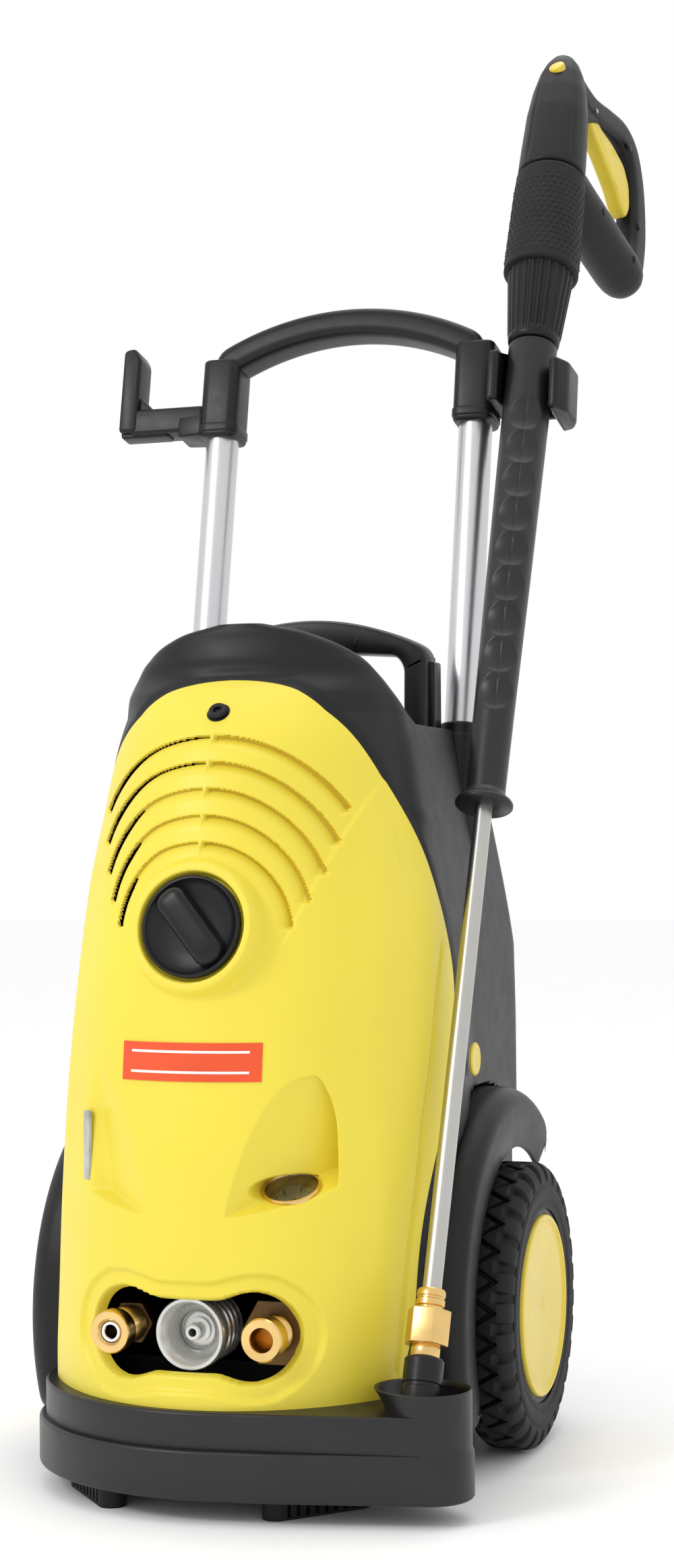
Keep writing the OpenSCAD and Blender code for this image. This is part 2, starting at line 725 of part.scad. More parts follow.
module union_nut() {
    color("black") lance_frame() difference() {
        union() {
            translate([0, 0, nut_s]) cylinder(h = gun_s + 8 - nut_s, r1 = 21, r2 = 28.6);
            for (i = [0 : 11]) rotate([0, 0, i * 30]) translate([20.6, 0, nut_s + 2]) rotate([0, 5.5, 0])
                cylinder(h = gun_s - nut_s - 6, r = 2);
        }
        translate([0, 0, nut_s - 1]) cylinder(h = 90, r = lance_d / 2 + 0.1);
        translate([0, 0, nut_s + 20]) cylinder(h = 90, r = 11.1);
    }
}

// Trigger gun
module gun_body() {
    color("dimgray") difference() {
        union() {
            lance_frame() {
                translate([0, 0, nut_s + 25]) cylinder(h = 80, r = 11);
                translate([0, 0, gun_s + 12]) cylinder(h = 101, r = 26);
                translate([0, 0, gun_s + 103]) cylinder(h = 77, r1 = 29, r2 = 26.6);
                translate([0, 0, gun_s + 180]) cylinder(h = 46, r1 = 26.6, r2 = 19);
                translate([0, 0, gun_s + 226]) cylinder(h = 14, r1 = 19, r2 = 11);
                translate([0, 0, gun_s + 236]) sphere(r = 13.5);
            }
            loop_frame() {
                bar([10, 1062], hose_end, 22.5);
                translate([hose_end[0], 0, hose_end[1]]) rotate([0, 94, 0]) cylinder(h = 12, r1 = 22.4, r2 = 19);
                band(rear_arm, 27, 22);
            }
        }
        loop_frame() {
            trigger_slot();
            pin_hole(2);
        }
        hose_frame() {
            translate([0, 0, 3]) cylinder(h = 40, r = 6.5);
            translate([0, 0, -12]) cylinder(h = 15.1, r = 9);
        }
        button_frame() translate([0, 0, -12]) cylinder(h = 30, r = 7.05);
        lance_frame() translate([0, 0, nut_s + 20]) cylinder(h = 60, r = 5);
    }
}
module pin_hole(r) {
    translate([pivot[0], -30, pivot[1]]) rotate([-90, 0, 0]) cylinder(h = 60, r = r);
}
// At the hose end the frame's +Z points out of the gun's conduit arm
module hose_frame() {
    loop_frame() translate([hose_end[0], 0, hose_end[1]]) rotate([0, 94, 0]) children();
}
module trigger_outline() {
    polygon([[41, 1168], [46, 1173], [54, 1173], [66, 1168], [96, 1170], [124, 1165], [139, 1150], [144, 1128],
        [138, 1114], [127, 1117], [110, 1130], [86, 1141], [60, 1150], [43, 1160]]);
}
module trigger_plate() {
    translate([0, 7, 0]) rotate([90, 0, 0]) linear_extrude(14) trigger_outline();
}
module trigger_slot() {
    translate([0, 7.6, 0]) rotate([90, 0, 0]) linear_extrude(15.2) polygon([[35, 1150], [35, 1180], [60, 1179],
        [96, 1184], [126, 1183], [147, 1169], [157, 1145], [153, 1126], [148, 1106], [120, 1108], [100, 1126],
        [60, 1141]]);
}
module trigger() {
    color("gold") loop_frame() difference() {
        trigger_plate();
        pin_hole(2.05);
    }
}
module trigger_pin() {
    color("silver") loop_frame() translate([pivot[0], -12, pivot[1]]) rotate([-90, 0, 0]) cylinder(h = 24, r = 2);
}
module gun_sleeve() {
    color("black") difference() {
        lance_frame() difference() {
            translate([0, 0, gun_s]) cylinder(h = 101, r1 = 32, r2 = 30);
            translate([0, 0, gun_s + 13]) cylinder(h = 101, r = 26);
            translate([0, 0, gun_s - 1]) cylinder(h = 15, r = 29.4);
        }
        loop_frame() bar([10, 1062], hose_end, 22.8);
    }
}
// The button's frame points out of the front of the gun's rounded end
module button_frame() { loop_frame() translate([-17, 0, 1175]) rotate([0, -66, 0]) children(); }
module safety_button() {
    color("gold") button_frame() translate([0, 0, -8.5]) cylinder(h = 15, r = 7);
}
module gun_inlet() {
    color("goldenrod") hose_frame() difference() {
        translate([0, 0, -12]) cylinder(h = 15, r = 8.9);
        translate([0, 0, -13]) cylinder(h = 30, r = 3);
    }
}

place() front_cover();
place() cover_screw();
place() badge();
place() level_window();
place() rear_housing();
place() carry_handle();
place() fender_left();
place() fender_right();
place() side_cap();
place() base_tray();
place() foot_left();
place() foot_right();
place() axle();
place() tyre_left();
place() tyre_right();
place() rim_left();
place() rim_right();
place() hub_cap_left();
place() hub_cap_right();
place() axle_clips();
place() handle_tube_left();
place() handle_tube_right();
place() tube_bushes();
place() handle_grip();
place() handle_screws();
place() hose_hook();
place() lance_clip();
place() switch_knob();
place() switch_body();
place() gauge_case();
place() gauge_dial();
place() gauge_needle();
place() gauge_lens();
place() motor_housing();
place() motor_shaft();
place() cooling_fan();
place() capacitor();
place() motor_bracket();
place() crankcase();
place() pump_head();
place() outlet_fitting();
place() outlet_insert();
place() inlet_coupling();
place() inlet_nipple();
place() bypass_fitting();
place() unloader_valve();
place() pressure_pipe();
place() nozzle();
place() nozzle_union();
place() lance_tube();
place() lance_grip();
place() union_nut();
place() gun_body();
place() gun_sleeve();
place() trigger();
place() trigger_pin();
place() safety_button();
place() gun_inlet();
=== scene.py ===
"""Looks for the upright pressure washer: smooth shells, metalwork and finishes over the CAD part.

Lengths are millimetres in the part's drawing frame: X to the right seen from the front, Z up and Y
back from the casing's widest section. add_mesh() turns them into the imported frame's metres.
"""

import math

import bpy
import numpy as np
from mathutils import Matrix, Vector


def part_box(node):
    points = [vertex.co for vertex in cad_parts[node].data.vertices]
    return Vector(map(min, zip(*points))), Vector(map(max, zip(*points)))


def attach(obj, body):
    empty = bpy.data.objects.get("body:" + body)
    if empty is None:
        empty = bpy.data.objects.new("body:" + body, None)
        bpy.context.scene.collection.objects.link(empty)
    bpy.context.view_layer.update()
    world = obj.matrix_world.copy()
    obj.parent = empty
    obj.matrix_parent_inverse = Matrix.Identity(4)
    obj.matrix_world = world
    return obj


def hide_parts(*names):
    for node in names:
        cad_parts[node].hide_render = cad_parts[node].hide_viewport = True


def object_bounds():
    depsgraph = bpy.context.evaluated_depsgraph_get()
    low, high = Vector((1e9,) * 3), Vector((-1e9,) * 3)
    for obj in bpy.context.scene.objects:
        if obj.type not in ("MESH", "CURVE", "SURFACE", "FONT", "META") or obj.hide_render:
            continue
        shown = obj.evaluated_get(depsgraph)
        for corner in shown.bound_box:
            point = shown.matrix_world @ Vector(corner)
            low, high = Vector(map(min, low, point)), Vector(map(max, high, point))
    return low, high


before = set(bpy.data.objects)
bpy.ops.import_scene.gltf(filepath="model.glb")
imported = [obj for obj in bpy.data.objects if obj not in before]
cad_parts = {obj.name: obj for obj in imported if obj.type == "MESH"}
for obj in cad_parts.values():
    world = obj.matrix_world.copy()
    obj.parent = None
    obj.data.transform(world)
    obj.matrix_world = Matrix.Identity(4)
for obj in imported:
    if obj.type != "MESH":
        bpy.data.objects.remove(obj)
CAD_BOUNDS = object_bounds()
MM = 0.001
AXLE = (0.0, 105.0, 110.0)
# How far the drawing frame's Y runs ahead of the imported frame's
ORIGIN_Y = AXLE[1] - (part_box("axle")[0][1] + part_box("axle")[1][1]) / 2 / MM


# Helpers: frames
SIDES = ((1, "right"), (-1, "left"))


def moved(x, y, z):
    return Matrix.Translation((x, y, z))


def turned(degrees, axis):
    return Matrix.Rotation(math.radians(degrees), 4, axis)


def facing(at, tilt=0.0):
    """+Z points at a person in front of the machine, tipped up by tilt degrees."""
    return moved(*at) @ turned(90 - tilt, "X")


TUBE_LEAN = 11.6
LANCE_LEAN = 23.8
LANCE_X = 162.0
TIP = (LANCE_X, -141.7, 68.0)
LANCE = moved(*TIP) @ turned(-LANCE_LEAN, "X")
LOOP = LANCE @ turned(77, "Z")
AXLE_FRAME = moved(*AXLE) @ turned(90, "Y")
SOCKET_Z, BUSH_Z, TUBE_X = 817.0, 554.0, 113.0


def tube_frame(z, side=0):
    """+Z runs up between the handle tubes, or up the one on a side."""
    between = moved(0, 45 + z * math.tan(math.radians(TUBE_LEAN)), z) @ turned(-TUBE_LEAN, "X")
    return between @ moved(side * TUBE_X, 0, 0)


GRIP = tube_frame(SOCKET_Z)


def placed(matrix, points):
    """Points given in a frame, in the drawing frame."""
    m = np.array(matrix)
    return np.asarray(points, float) @ m[:3, :3].T + m[:3, 3]


def smooth(low, high, value):
    """0 below low, 1 above high, and an even rise between them."""
    t = np.clip((value - low) / (high - low), 0, 1)
    return t * t * (3 - 2 * t)


def unit(v):
    return v / np.maximum(np.linalg.norm(v, axis=-1, keepdims=True), 1e-6)


def full_turn(steps):
    return np.linspace(0, 2 * math.pi, steps, endpoint=False)


def ring_at(radius, turn, height):
    """A ring about Z; its radius may change along the turn."""
    return np.stack([radius * np.cos(turn), radius * np.sin(turn), np.full(len(turn), height)], 1)


# Helpers: outlines and meshes
def rounded(points, radius, closed=True, steps=5):
    """The outline with each corner turned into a small curve."""
    points = [np.array(p, float) for p in points]
    out = []
    for i, here in enumerate(points):
        if not closed and i in (0, len(points) - 1):
            out.append(here)
            continue
        before, after = points[i - 1], points[(i + 1) % len(points)]
        back, on = np.linalg.norm(before - here), np.linalg.norm(after - here)
        reach = min(radius, back / 2.05, on / 2.05)
        start, end = here + (before - here) / back * reach, here + (after - here) / on * reach
        for k in range(steps + 1):
            t = k / steps
            out.append((1 - t) ** 2 * start + 2 * t * (1 - t) * here + t * t * end)
    return np.array(out)


def inset(outline, distance):
    """A closed anticlockwise outline moved inwards."""
    along = unit(np.roll(outline, -1, 0) - np.roll(outline, 1, 0))
    return outline + np.stack([-along[:, 1], along[:, 0]], 1) * distance


def grid_faces(rows, cols, wrap):
    wide = cols if wrap else cols - 1
    r, c = np.meshgrid(np.arange(rows - 1), np.arange(wide), indexing="ij")
    a, b = r * cols + c, r * cols + (c + 1) % cols
    return np.stack([a, b, b + cols, a + cols], -1).reshape(-1, 4)


def add_mesh(name, points, faces, material, body, slot, stands_for="", split=35):
    """A piece that rides on a body and may stand for a CAD node; split is the angle that stays sharp."""
    mesh = bpy.data.meshes.new(name)
    points = (np.asarray(points, float).reshape(-1, 3) - (0, ORIGIN_Y, 0)) * MM
    mesh.from_pydata(points.tolist(), [], [list(map(int, f)) for f in faces])
    mesh.materials.append(material)
    mesh.validate()
    piece = bpy.data.objects.new(name, mesh)
    bpy.context.collection.objects.link(piece)
    mesh.polygons.foreach_set("use_smooth", [True] * len(mesh.polygons))
    if split:
        mesh.set_sharp_from_angle(angle=math.radians(split))
    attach(piece, body)
    if stands_for:
        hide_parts(stands_for)


def rings_mesh(rings):
    """Points and faces of closed rings joined one to the next, with a cap at each end."""
    rings = np.asarray(rings, float)
    count, size = rings.shape[:2]
    faces = [list(f) for f in grid_faces(count, size, True)]
    faces += [list(range(size))[::-1], list(range((count - 1) * size, count * size))]
    return rings.reshape(-1, 3), faces


def joined(*parts):
    points, faces, start = [], [], 0
    for some, more in parts:
        points.append(np.asarray(some))
        faces += [[i + start for i in f] for f in more]
        start += len(some)
    return np.concatenate(points), faces


def lathe(profile, matrix, steps=72, soften=0.0):
    """A closed profile of radius and height turned about the frame's Z."""
    if soften:
        profile = rounded(profile, soften, steps=3)
    profile = np.asarray(profile, float)
    rings = [ring_at(r, full_turn(steps), h) for r, h in profile]
    rings.append(rings[0])
    return placed(matrix, np.concatenate(rings)), grid_faces(len(rings), steps, True)


def slab(outline, low, high, edge, matrix=None):
    """A flat solid with rounded edges: the outline between two heights."""
    rings = []
    for k in range(5):
        a = math.radians(22.5 * k)
        rings.append((edge * (1 - math.sin(a)), low + edge * (1 - math.cos(a))))
    rings += [(i, low + high - z) for i, z in reversed(rings)]
    loops = [np.column_stack([inset(outline, i), np.full(len(outline), z)]) for i, z in rings]
    points, faces = rings_mesh(loops)
    return (placed(matrix, points) if matrix else points), faces


def sweep(path, section, matrix, scale=None):
    """A closed 2D section carried along a path in a frame; the section's first axis is the frame's Y."""
    path = placed(matrix, path)
    along = unit(np.gradient(path, axis=0))
    side = np.array(matrix)[:3, 1]
    rings = []
    for i, (at, t) in enumerate(zip(path, along)):
        s = np.asarray(section) * (scale[i] if scale is not None else 1)
        rings.append(at + s[:, :1] * side + s[:, 1:] * np.cross(side, t))
    return rings_mesh(rings)


def rounded_rect(w, h, r, steps=5):
    return rounded([(-w / 2, -h / 2), (w / 2, -h / 2), (w / 2, h / 2), (-w / 2, h / 2)], r, steps=steps)


def curve_through(points, count):
    """A smooth open path through points, evenly spaced."""
    p = np.array(points, float)
    p = np.concatenate([[2 * p[0] - p[1]], p, [2 * p[-1] - p[-2]]])
    fine = []
    for i in range(1, len(p) - 2):
        for t in np.linspace(0, 1, 16, endpoint=False):
            fine.append(0.5 * (2 * p[i] + (p[i + 1] - p[i - 1]) * t
                               + (2 * p[i - 1] - 5 * p[i] + 4 * p[i + 1] - p[i + 2]) * t * t
                               + (3 * p[i] - p[i - 1] - 3 * p[i + 1] + p[i + 2]) * t ** 3))
    fine.append(p[-2])
    fine = np.array(fine)
    length = np.concatenate([[0], np.cumsum(np.linalg.norm(np.diff(fine, axis=0), axis=1))])
    at = np.linspace(0, length[-1], count)
    return np.stack([np.interp(at, length, fine[:, k]) for k in range(fine.shape[1])], 1)


def turned_piece(name, profile, matrix, steps, *looks):
    add_mesh(name, *lathe(profile, matrix, steps), *looks)


# Materials: every one varies a little in colour, roughness and surface
def set_inputs(node, **values):
    for key, value in values.items():
        node.inputs[key.replace("_", " ")].default_value = value
    return node


def finish(name, color, rough, vary=0.12, grain=900.0, depth=60, blotch=9.0, metallic=0.0,
           stretch=(1, 1, 1), rough_vary=0.08, **sockets):
    """depth is the grain's height in millionths of a metre; vary is how far the colour strays."""
    material = bpy.data.materials.new(name)
    material.use_nodes = True
    nodes, links = material.node_tree.nodes, material.node_tree.links
    shader = set_inputs(nodes["Principled BSDF"], Metallic=metallic, **sockets)
    where = nodes.new("ShaderNodeTexCoord")
    mapping = set_inputs(nodes.new("ShaderNodeMapping"), Scale=stretch)
    links.new(where.outputs["Object"], mapping.inputs["Vector"])

    def noise(scale, detail):
        texture = set_inputs(nodes.new("ShaderNodeTexNoise"), Scale=scale, Detail=detail)
        links.new(mapping.outputs["Vector"], texture.inputs["Vector"])
        return texture.outputs["Fac"]

    tint = nodes.new("ShaderNodeValToRGB")
    for element, position, change in zip(tint.color_ramp.elements, (0.3, 0.7), (-vary, vary * 0.6)):
        element.position = position
        element.color = (*[min(1, c * (1 + change)) for c in color], 1)
    links.new(noise(blotch, 5), tint.inputs["Fac"])
    links.new(tint.outputs["Color"], shader.inputs["Base Color"])
    spread = set_inputs(nodes.new("ShaderNodeMapRange"), To_Min=max(0.02, rough - rough_vary),
                        To_Max=rough + rough_vary)
    links.new(noise(blotch * 6, 6), spread.inputs["Value"])
    links.new(spread.outputs["Result"], shader.inputs["Roughness"])
    bump = set_inputs(nodes.new("ShaderNodeBump"), Strength=0.6, Distance=depth * 1e-6)
    links.new(noise(grain, 3), bump.inputs["Height"])
    links.new(bump.outputs["Normal"], shader.inputs["Normal"])
    return material


YELLOW = finish("yellow_shell", (0.775, 0.64, 0.05), 0.42, vary=0.05, grain=1400, depth=30, blotch=5)
# A darker amber painted on the vents' narrow walls as shade
PAINTED_SHADE_AMBER = finish("amber_painted_shade", (0.52, 0.36, 0.012), 0.5, vary=0.08, grain=1400, depth=30, blotch=12)
YELLOW_GLOSS = finish("yellow_gloss", (0.72, 0.55, 0.04), 0.3, vary=0.06, grain=900, depth=20, blotch=20)
BLACK = finish("black_plastic", (0.009, 0.009, 0.0105), 0.42, vary=0.25, grain=1600, depth=80, blotch=11,
               Specular_IOR_Level=0.26)
BLACK_SHEEN = finish("black_sheen", (0.011, 0.011, 0.0125), 0.38, vary=0.25, grain=1600, depth=60, blotch=11,
                    Specular_IOR_Level=0.42)
BLACK_SATIN = finish("black_satin", (0.008, 0.008, 0.0095), 0.34, vary=0.2, grain=1300, depth=50, blotch=16,
                     Specular_IOR_Level=0.28)
BLACK_DEEP = finish("black_deep", (0.006, 0.006, 0.0065), 0.6, vary=0.3, grain=900, depth=80)
RUBBER = finish("tyre_rubber", (0.007, 0.007, 0.008), 0.62, vary=0.35, grain=1100, depth=150, blotch=25,
                Specular_IOR_Level=0.3)
DIAL = finish("dial_card", (0.44, 0.43, 0.37), 0.4, vary=0.5, grain=900, depth=100, blotch=260)
ALUMINIUM = finish("anodised_tube", (0.62, 0.62, 0.64), 0.32, vary=0.05, grain=500, depth=20, blotch=14,
                   metallic=1.0, stretch=(1, 1, 0.06))
STEEL = finish("polished_steel", (0.50, 0.49, 0.465), 0.3, vary=0.08, grain=700, depth=10, blotch=12,
               metallic=1.0, stretch=(1, 1, 0.05), rough_vary=0.05)
CHROME = finish("chrome_plate", (0.80, 0.80, 0.82), 0.1, vary=0.04, grain=400, depth=10, metallic=1.0,
                rough_vary=0.04)
NICKEL = finish("nickel_plate", (0.60, 0.60, 0.58), 0.26, vary=0.1, grain=500, depth=10, blotch=40,
                metallic=0.8, rough_vary=0.06)
# Brass darkened as painted shade, for the brass set back behind the fittings
BRASS_PAINTED_SHADE = finish("brass_in_shade", (0.13, 0.075, 0.03), 0.42, vary=0.2, grain=600, depth=30, blotch=40,
                    metallic=0.9)
BRASS = finish("brass", (0.78, 0.53, 0.21), 0.24, vary=0.12, grain=600, depth=20, blotch=40,
               metallic=1.0, rough_vary=0.07)
CAST = finish("cast_metal", (0.42, 0.43, 0.45), 0.5, vary=0.15, grain=700, depth=200, blotch=30, metallic=0.9)
RED = finish("badge_red", (0.76, 0.075, 0.012), 0.34, vary=0.06, grain=900, depth=10, blotch=30)
WHITE = finish("white_print", (0.86, 0.86, 0.84), 0.45, vary=0.04, grain=900, depth=10, blotch=30)
SMOKED = finish("window_strip", (0.42, 0.42, 0.38), 0.28, vary=0.3, grain=500, depth=30, blotch=60)
GLASS = finish("gauge_glass", (0.95, 0.97, 0.97), 0.06, vary=0.02, grain=200, depth=5,
               rough_vary=0.03, Transmission_Weight=1.0, IOR=1.45)


# The casing's skin: height, half width and front
SKIN = np.array([
    (70, 160.3, -175.5), (130, 158, -172), (210, 156, -167), (300, 151, -159), (360, 145, -151),
    (410, 139, -142), (470, 129, -131), (508, 122, -122), (530, 118, -114), (550, 114, -104), (566, 110, -92),
    (582, 105, -76), (596, 96.5, -60), (610, 84, -57), (622, 63, -54), (629, 43, -53), (634, 18, -52)])
# Side edge of the front cover: y and height
EDGE = np.array([
    (-90, 70), (-83, 99), (-73, 125), (-69, 150), (-64, 178), (-56, 205), (-44, 232), (-20, 275), (8, 330),
    (22, 375), (18, 402), (8, 435), (-2, 460), (-17, 484), (-31, 504), (-43.5, 524), (-54, 544), (-61.5, 560),
    (-67, 574), (-66.5, 584), (-64.5, 592)])[:, ::-1]
# The moulded line down each side of the cover: height and y
CREASE = np.array([(92, -92), (146, -80), (182, -73), (221, -63), (266, -52), (316, -33), (354, -18),
                   (398, 6)])
MID_Y = 18.0
# The cover's features lie in front of this y
FEATURES_Y = -40.0
# The crest over the cover leans forward as it narrows: height and middle of its widest section
CREST_MID = np.array([(566, MID_Y), (582, 0), (596, -9), (610, -18), (622, -34), (629, -41), (634, -45)])
BACK_SIDE = 142.0
# Half the casing's width beside the wheels, and the deck behind the crest
ARCH_X, DECK_Z, DECK_ROUND = 134.0, 560.0, 14.0
COVER_LOW, COVER_SHOULDER, COVER_TOP = 72.0, 500.0, 592.0


def along_table(table, column, at):
    xs, ys = table[:, 0].astype(float), table[:, column].astype(float)
    slopes = np.gradient(ys, xs)
    i = np.clip(np.searchsorted(xs, at, "right") - 1, 0, len(xs) - 2)
    h = xs[i + 1] - xs[i]
    t = np.clip((at - xs[i]) / h, 0, 1)
    return ((2 * t ** 3 - 3 * t ** 2 + 1) * ys[i] + (t ** 3 - 2 * t ** 2 + t) * h * slopes[i]
            + (3 * t ** 2 - 2 * t ** 3) * ys[i + 1] + (t ** 3 - t ** 2) * h * slopes[i + 1])


def half_width(z):
    return along_table(SKIN, 1, z)


def front_y(z):
    return along_table(SKIN, 2, z)


def mid_y(z):
    return np.interp(z, CREST_MID[:, 0], CREST_MID[:, 1])


def edge_y(z):
    """The cover's side edge, evened out so that its outline has no corners."""
    return sum(along_table(EDGE, 1, z + step) for step in (-10, -5, 0, 5, 10)) / 5


def edge_angle(z):
    """Where the cover's side edge lies on the level's half ellipse, as an angle from the front."""
    y, w, mid = edge_y(z), half_width(z), mid_y(z)
    on_ellipse = np.arccos(np.clip((mid - y) / (mid - front_y(z)), -1, 1))
    return np.where(y > MID_Y, math.pi / 2 + (y - MID_Y) / w, on_ellipse)


def skin_point(angle, z):
    w, mid = half_width(z), mid_y(z)
    over = np.maximum(np.abs(angle) - math.pi / 2, 0)
    a = np.clip(angle, -math.pi / 2, math.pi / 2)
    return np.stack([w * np.sin(a), mid - (mid - front_y(z)) * np.cos(a) + over * w, z + 0 * angle], -1)


def skin_normal(angle, z):
    across = skin_point(angle + 0.01, z) - skin_point(angle - 0.01, z)
    rise = skin_point(angle, z + 0.5) - skin_point(angle, z - 0.5)
    return unit(np.cross(across, rise))


def skin_y(x, z):
    w, mid = half_width(z), mid_y(z)
    return mid - (mid - front_y(z)) * np.sqrt(np.maximum(1 - (x / w) ** 2, 0.01))


# Features pressed into the cover, all in millimetres
PORT_X, PORT_Z = 50.0, 125.0
KNOB_AT, KNOB_TILT, KNOB_R = np.array([0, -150.0, 411.0]), 11.0, 37.5
GAUGE_AT, GAUGE_TILT, GAUGE_R = np.array([66, -126.0, 225.0]), 65.0, 21.0
SCOOP_LOW, SCOOP_TOP = 200.0, 305.5
# The scoop's inner and outer edges: height and distance from the middle
SCOOP_INNER = np.array([
    (206, 28.5), (225, 32.5), (248, 39.1), (273, 49), (289, 58), (298, 65.5), (303, 73), (SCOOP_TOP, 83.6)])
SCOOP_OUTER = np.array([
    (206, 96), (229, 98.6), (255, 98.4), (279, 96.3), (295, 91.5), (303, 87), (SCOOP_TOP, 83.8)])
# Where each vent's slot begins, as an angle from the top of its arc
SLOT_FROM = (0.02, 0.02, 0.60, 0.72, 0.90)
VENT_DEPTH, VENT_FADE, PORT_HOLE = 5.0, 9.5, 12.0


def vent_shape(k):
    """Centre height, radius and half angle of a vent's arc."""
    return 435 - 8 * k, 113 - 11.5 * k, math.radians(59 + 6.5 * k)


def vents(x, z):
    """Each vent is a ledge, sharp above and fading below: its depth, its slot and its wall, which gets
    painted shade.
    """
    depth, slot, wall = np.zeros_like(x), np.zeros(x.shape, bool), np.zeros(x.shape, bool)
    for k, slot_from in enumerate(SLOT_FROM):
        centre, radius, half = vent_shape(k)
        a = np.arctan2(x, z - centre)
        across = np.hypot(x, z - centre) - radius - 2.0 * smooth(0.1, 0.6, -a)
        past_end = (np.abs(a) - half) * radius
        ledge = VENT_DEPTH * (1 - smooth(0.2, 1.6, across)) * np.clip(1 + across / VENT_FADE, 0, 1) ** 1.3
        ledge = ledge * (1 - smooth(-2.5, 1.5, past_end)) * np.where(x > 0, 1, 0.6)
        # A thin bridge crosses each ledge at the middle
        ledge = ledge * (1 - (1 - smooth(0.8, 2.4, np.abs(x))) * smooth(-4, -1.5, across))
        # The slots on the left grow wider towards their lower ends
        low = -0.5 - 3.4 * smooth(max(slot_from, 0.45) - 0.1, max(slot_from, 0.75) + 0.15, -a)
        slot |= (x < -2) & (across < 1.0) & (across > low) & (past_end < -1) & (-a > slot_from)
        # The narrow wall under each ledge's sharp edge gets painted shade
        wall |= (np.abs(x) > 2.2) & (across > -0.5) & (across < 1.5) & (past_end < -1.5)
        depth = np.maximum(depth, ledge)
    return depth, slot, wall


def port_distance(x, z):
    lobes = np.hypot(np.abs(x) - PORT_X, z - PORT_Z) - 30.5
    waist = np.maximum(np.abs(x) - PORT_X, np.abs(z - PORT_Z) - 25)
    blend = np.clip(0.5 + 0.5 * (waist - lobes) / 8, 0, 1)
    return waist * (1 - blend) + lobes * blend - 8 * blend * (1 - blend)


def softer_min(a, b, k=5.0):
    return (a + b - np.sqrt((a - b) ** 2 + k * k)) / 2


def on_gauge(x, z):
    """How far out from the gauge's middle a point of the cover lies, the gauge's rim being 1."""
    tall = (z - GAUGE_AT[2]) / (GAUGE_R * math.cos(math.radians(GAUGE_TILT)))
    return np.hypot((x - GAUGE_AT[0]) / GAUGE_R, tall)


def scoop(x, y, z):
    """How far back a scoop pushes the surface. It deepens outwards to a ledge; the left one is shallow."""
    ax = np.abs(x)
    inner, outer = along_table(SCOOP_INNER, 1, z), along_table(SCOOP_OUTER, 1, z)
    t = np.clip((ax - inner) / np.maximum(outer - inner, 1), 0, 1.1)
    rise = 1 - (1 - np.minimum(t, 1)) ** 1.8
    bowl = np.where(x > 0, rise * (1 - smooth(0.92, 1.02, t)), 0.5 * rise * (1 - smooth(0.5, 0.85, t)))
    cut = 33 * np.clip((SCOOP_TOP - z) / 80, 0, 1.4) ** 0.66 * bowl
    ledge = GAUGE_AT[1] + math.tan(math.radians(GAUGE_TILT)) * (z - GAUGE_AT[2]) - y
    cut = np.maximum(softer_min(cut, np.maximum(ledge, 0), 2.0), 0)
    niche = 1 - smooth(1.02, 1.14, on_gauge(x, z))
    return cut + niche * np.maximum(ledge + 1.5 - cut, 0)


def shaped_cover(points, normals):
    """The cover's grid with its features pressed in, and which of its points are holes or walls that get
    painted shade.
    """
    x, y, z = points[..., 0], points[..., 1], points[..., 2]
    port = port_distance(x, z)
    in_front = y < FEATURES_Y
    hole = PORT_HOLE * (1 - smooth(-0.4, 2.8, port))
    depth = np.maximum(3.4 * (1 - smooth(10.5, 14.5, port)), hole)
    openings, slots, walls = vents(x, z)
    depth = (depth + openings) * in_front
    # A soft step that the vents end at, and a soft fold down each side
    step = 96.2 - (478 - z) * 0.41 - x
    depth += 1.5 * smooth(0, 3.5, step) * smooth(372, 400, z) * (1 - smooth(500, 545, z)) * smooth(20, 50, x)
    fold = (np.abs(x) - 118 + 0.042 * (z - 348)) / 8
    depth -= 1.8 * np.exp(-fold * fold) * in_front * (1 - smooth(440, 500, z)) * smooth(70, 110, z)
    line = (y - along_table(CREASE, 1, z)) / 2.0
    depth += 2.2 * np.exp(-line * line) * smooth(84, 96, z) * (1 - smooth(388, 402, z)) * (np.abs(x) > 100)
    points = points - normals * depth[..., None]
    points[..., 1] += scoop(x, y, z) * ((z > SCOOP_LOW) & (z < SCOOP_TOP - 0.1) & in_front)
    # The raised ring and the dish round the switch
    axis = np.array(facing(KNOB_AT, KNOB_TILT))[:3, 2]
    offset = points - KNOB_AT
    height = offset @ axis
    around = np.linalg.norm(offset - height[..., None] * axis, axis=-1)
    target = 0.5 - 8.5 * (1 - smooth(KNOB_R + 0.3, KNOB_R + 3.2, around))
    lift = (target - height) * (1 - smooth(KNOB_R + 7, KNOB_R + 15, around)) * (y < 0)
    points = points + lift[..., None] * axis
    return points, (slots | (on_gauge(x, z) < 0.95)) & in_front, walls & in_front


def rim_added(points, normals, axis, at_end):
    """The grid with one side rolled over and turned in towards the casing."""
    last, before = (-1, -2) if at_end else (0, 1)
    edge, n = np.take(points, last, axis), np.take(normals, last, axis)
    out = unit(edge - np.take(points, before, axis))
    rows = [edge + out * a - n * b for a, b in ((0.5, 0.12), (0.95, 0.45), (1.25, 1.0), (1.35, 1.8),
                                                (1.35, 8.0))]
    if not at_end:
        rows = rows[::-1]
    extra, more = np.stack(rows, axis), np.stack([n] * len(rows), axis)
    pair = ((points, extra), (normals, more)) if at_end else ((extra, points), (more, normals))
    return np.concatenate(pair[0], axis), np.concatenate(pair[1], axis)


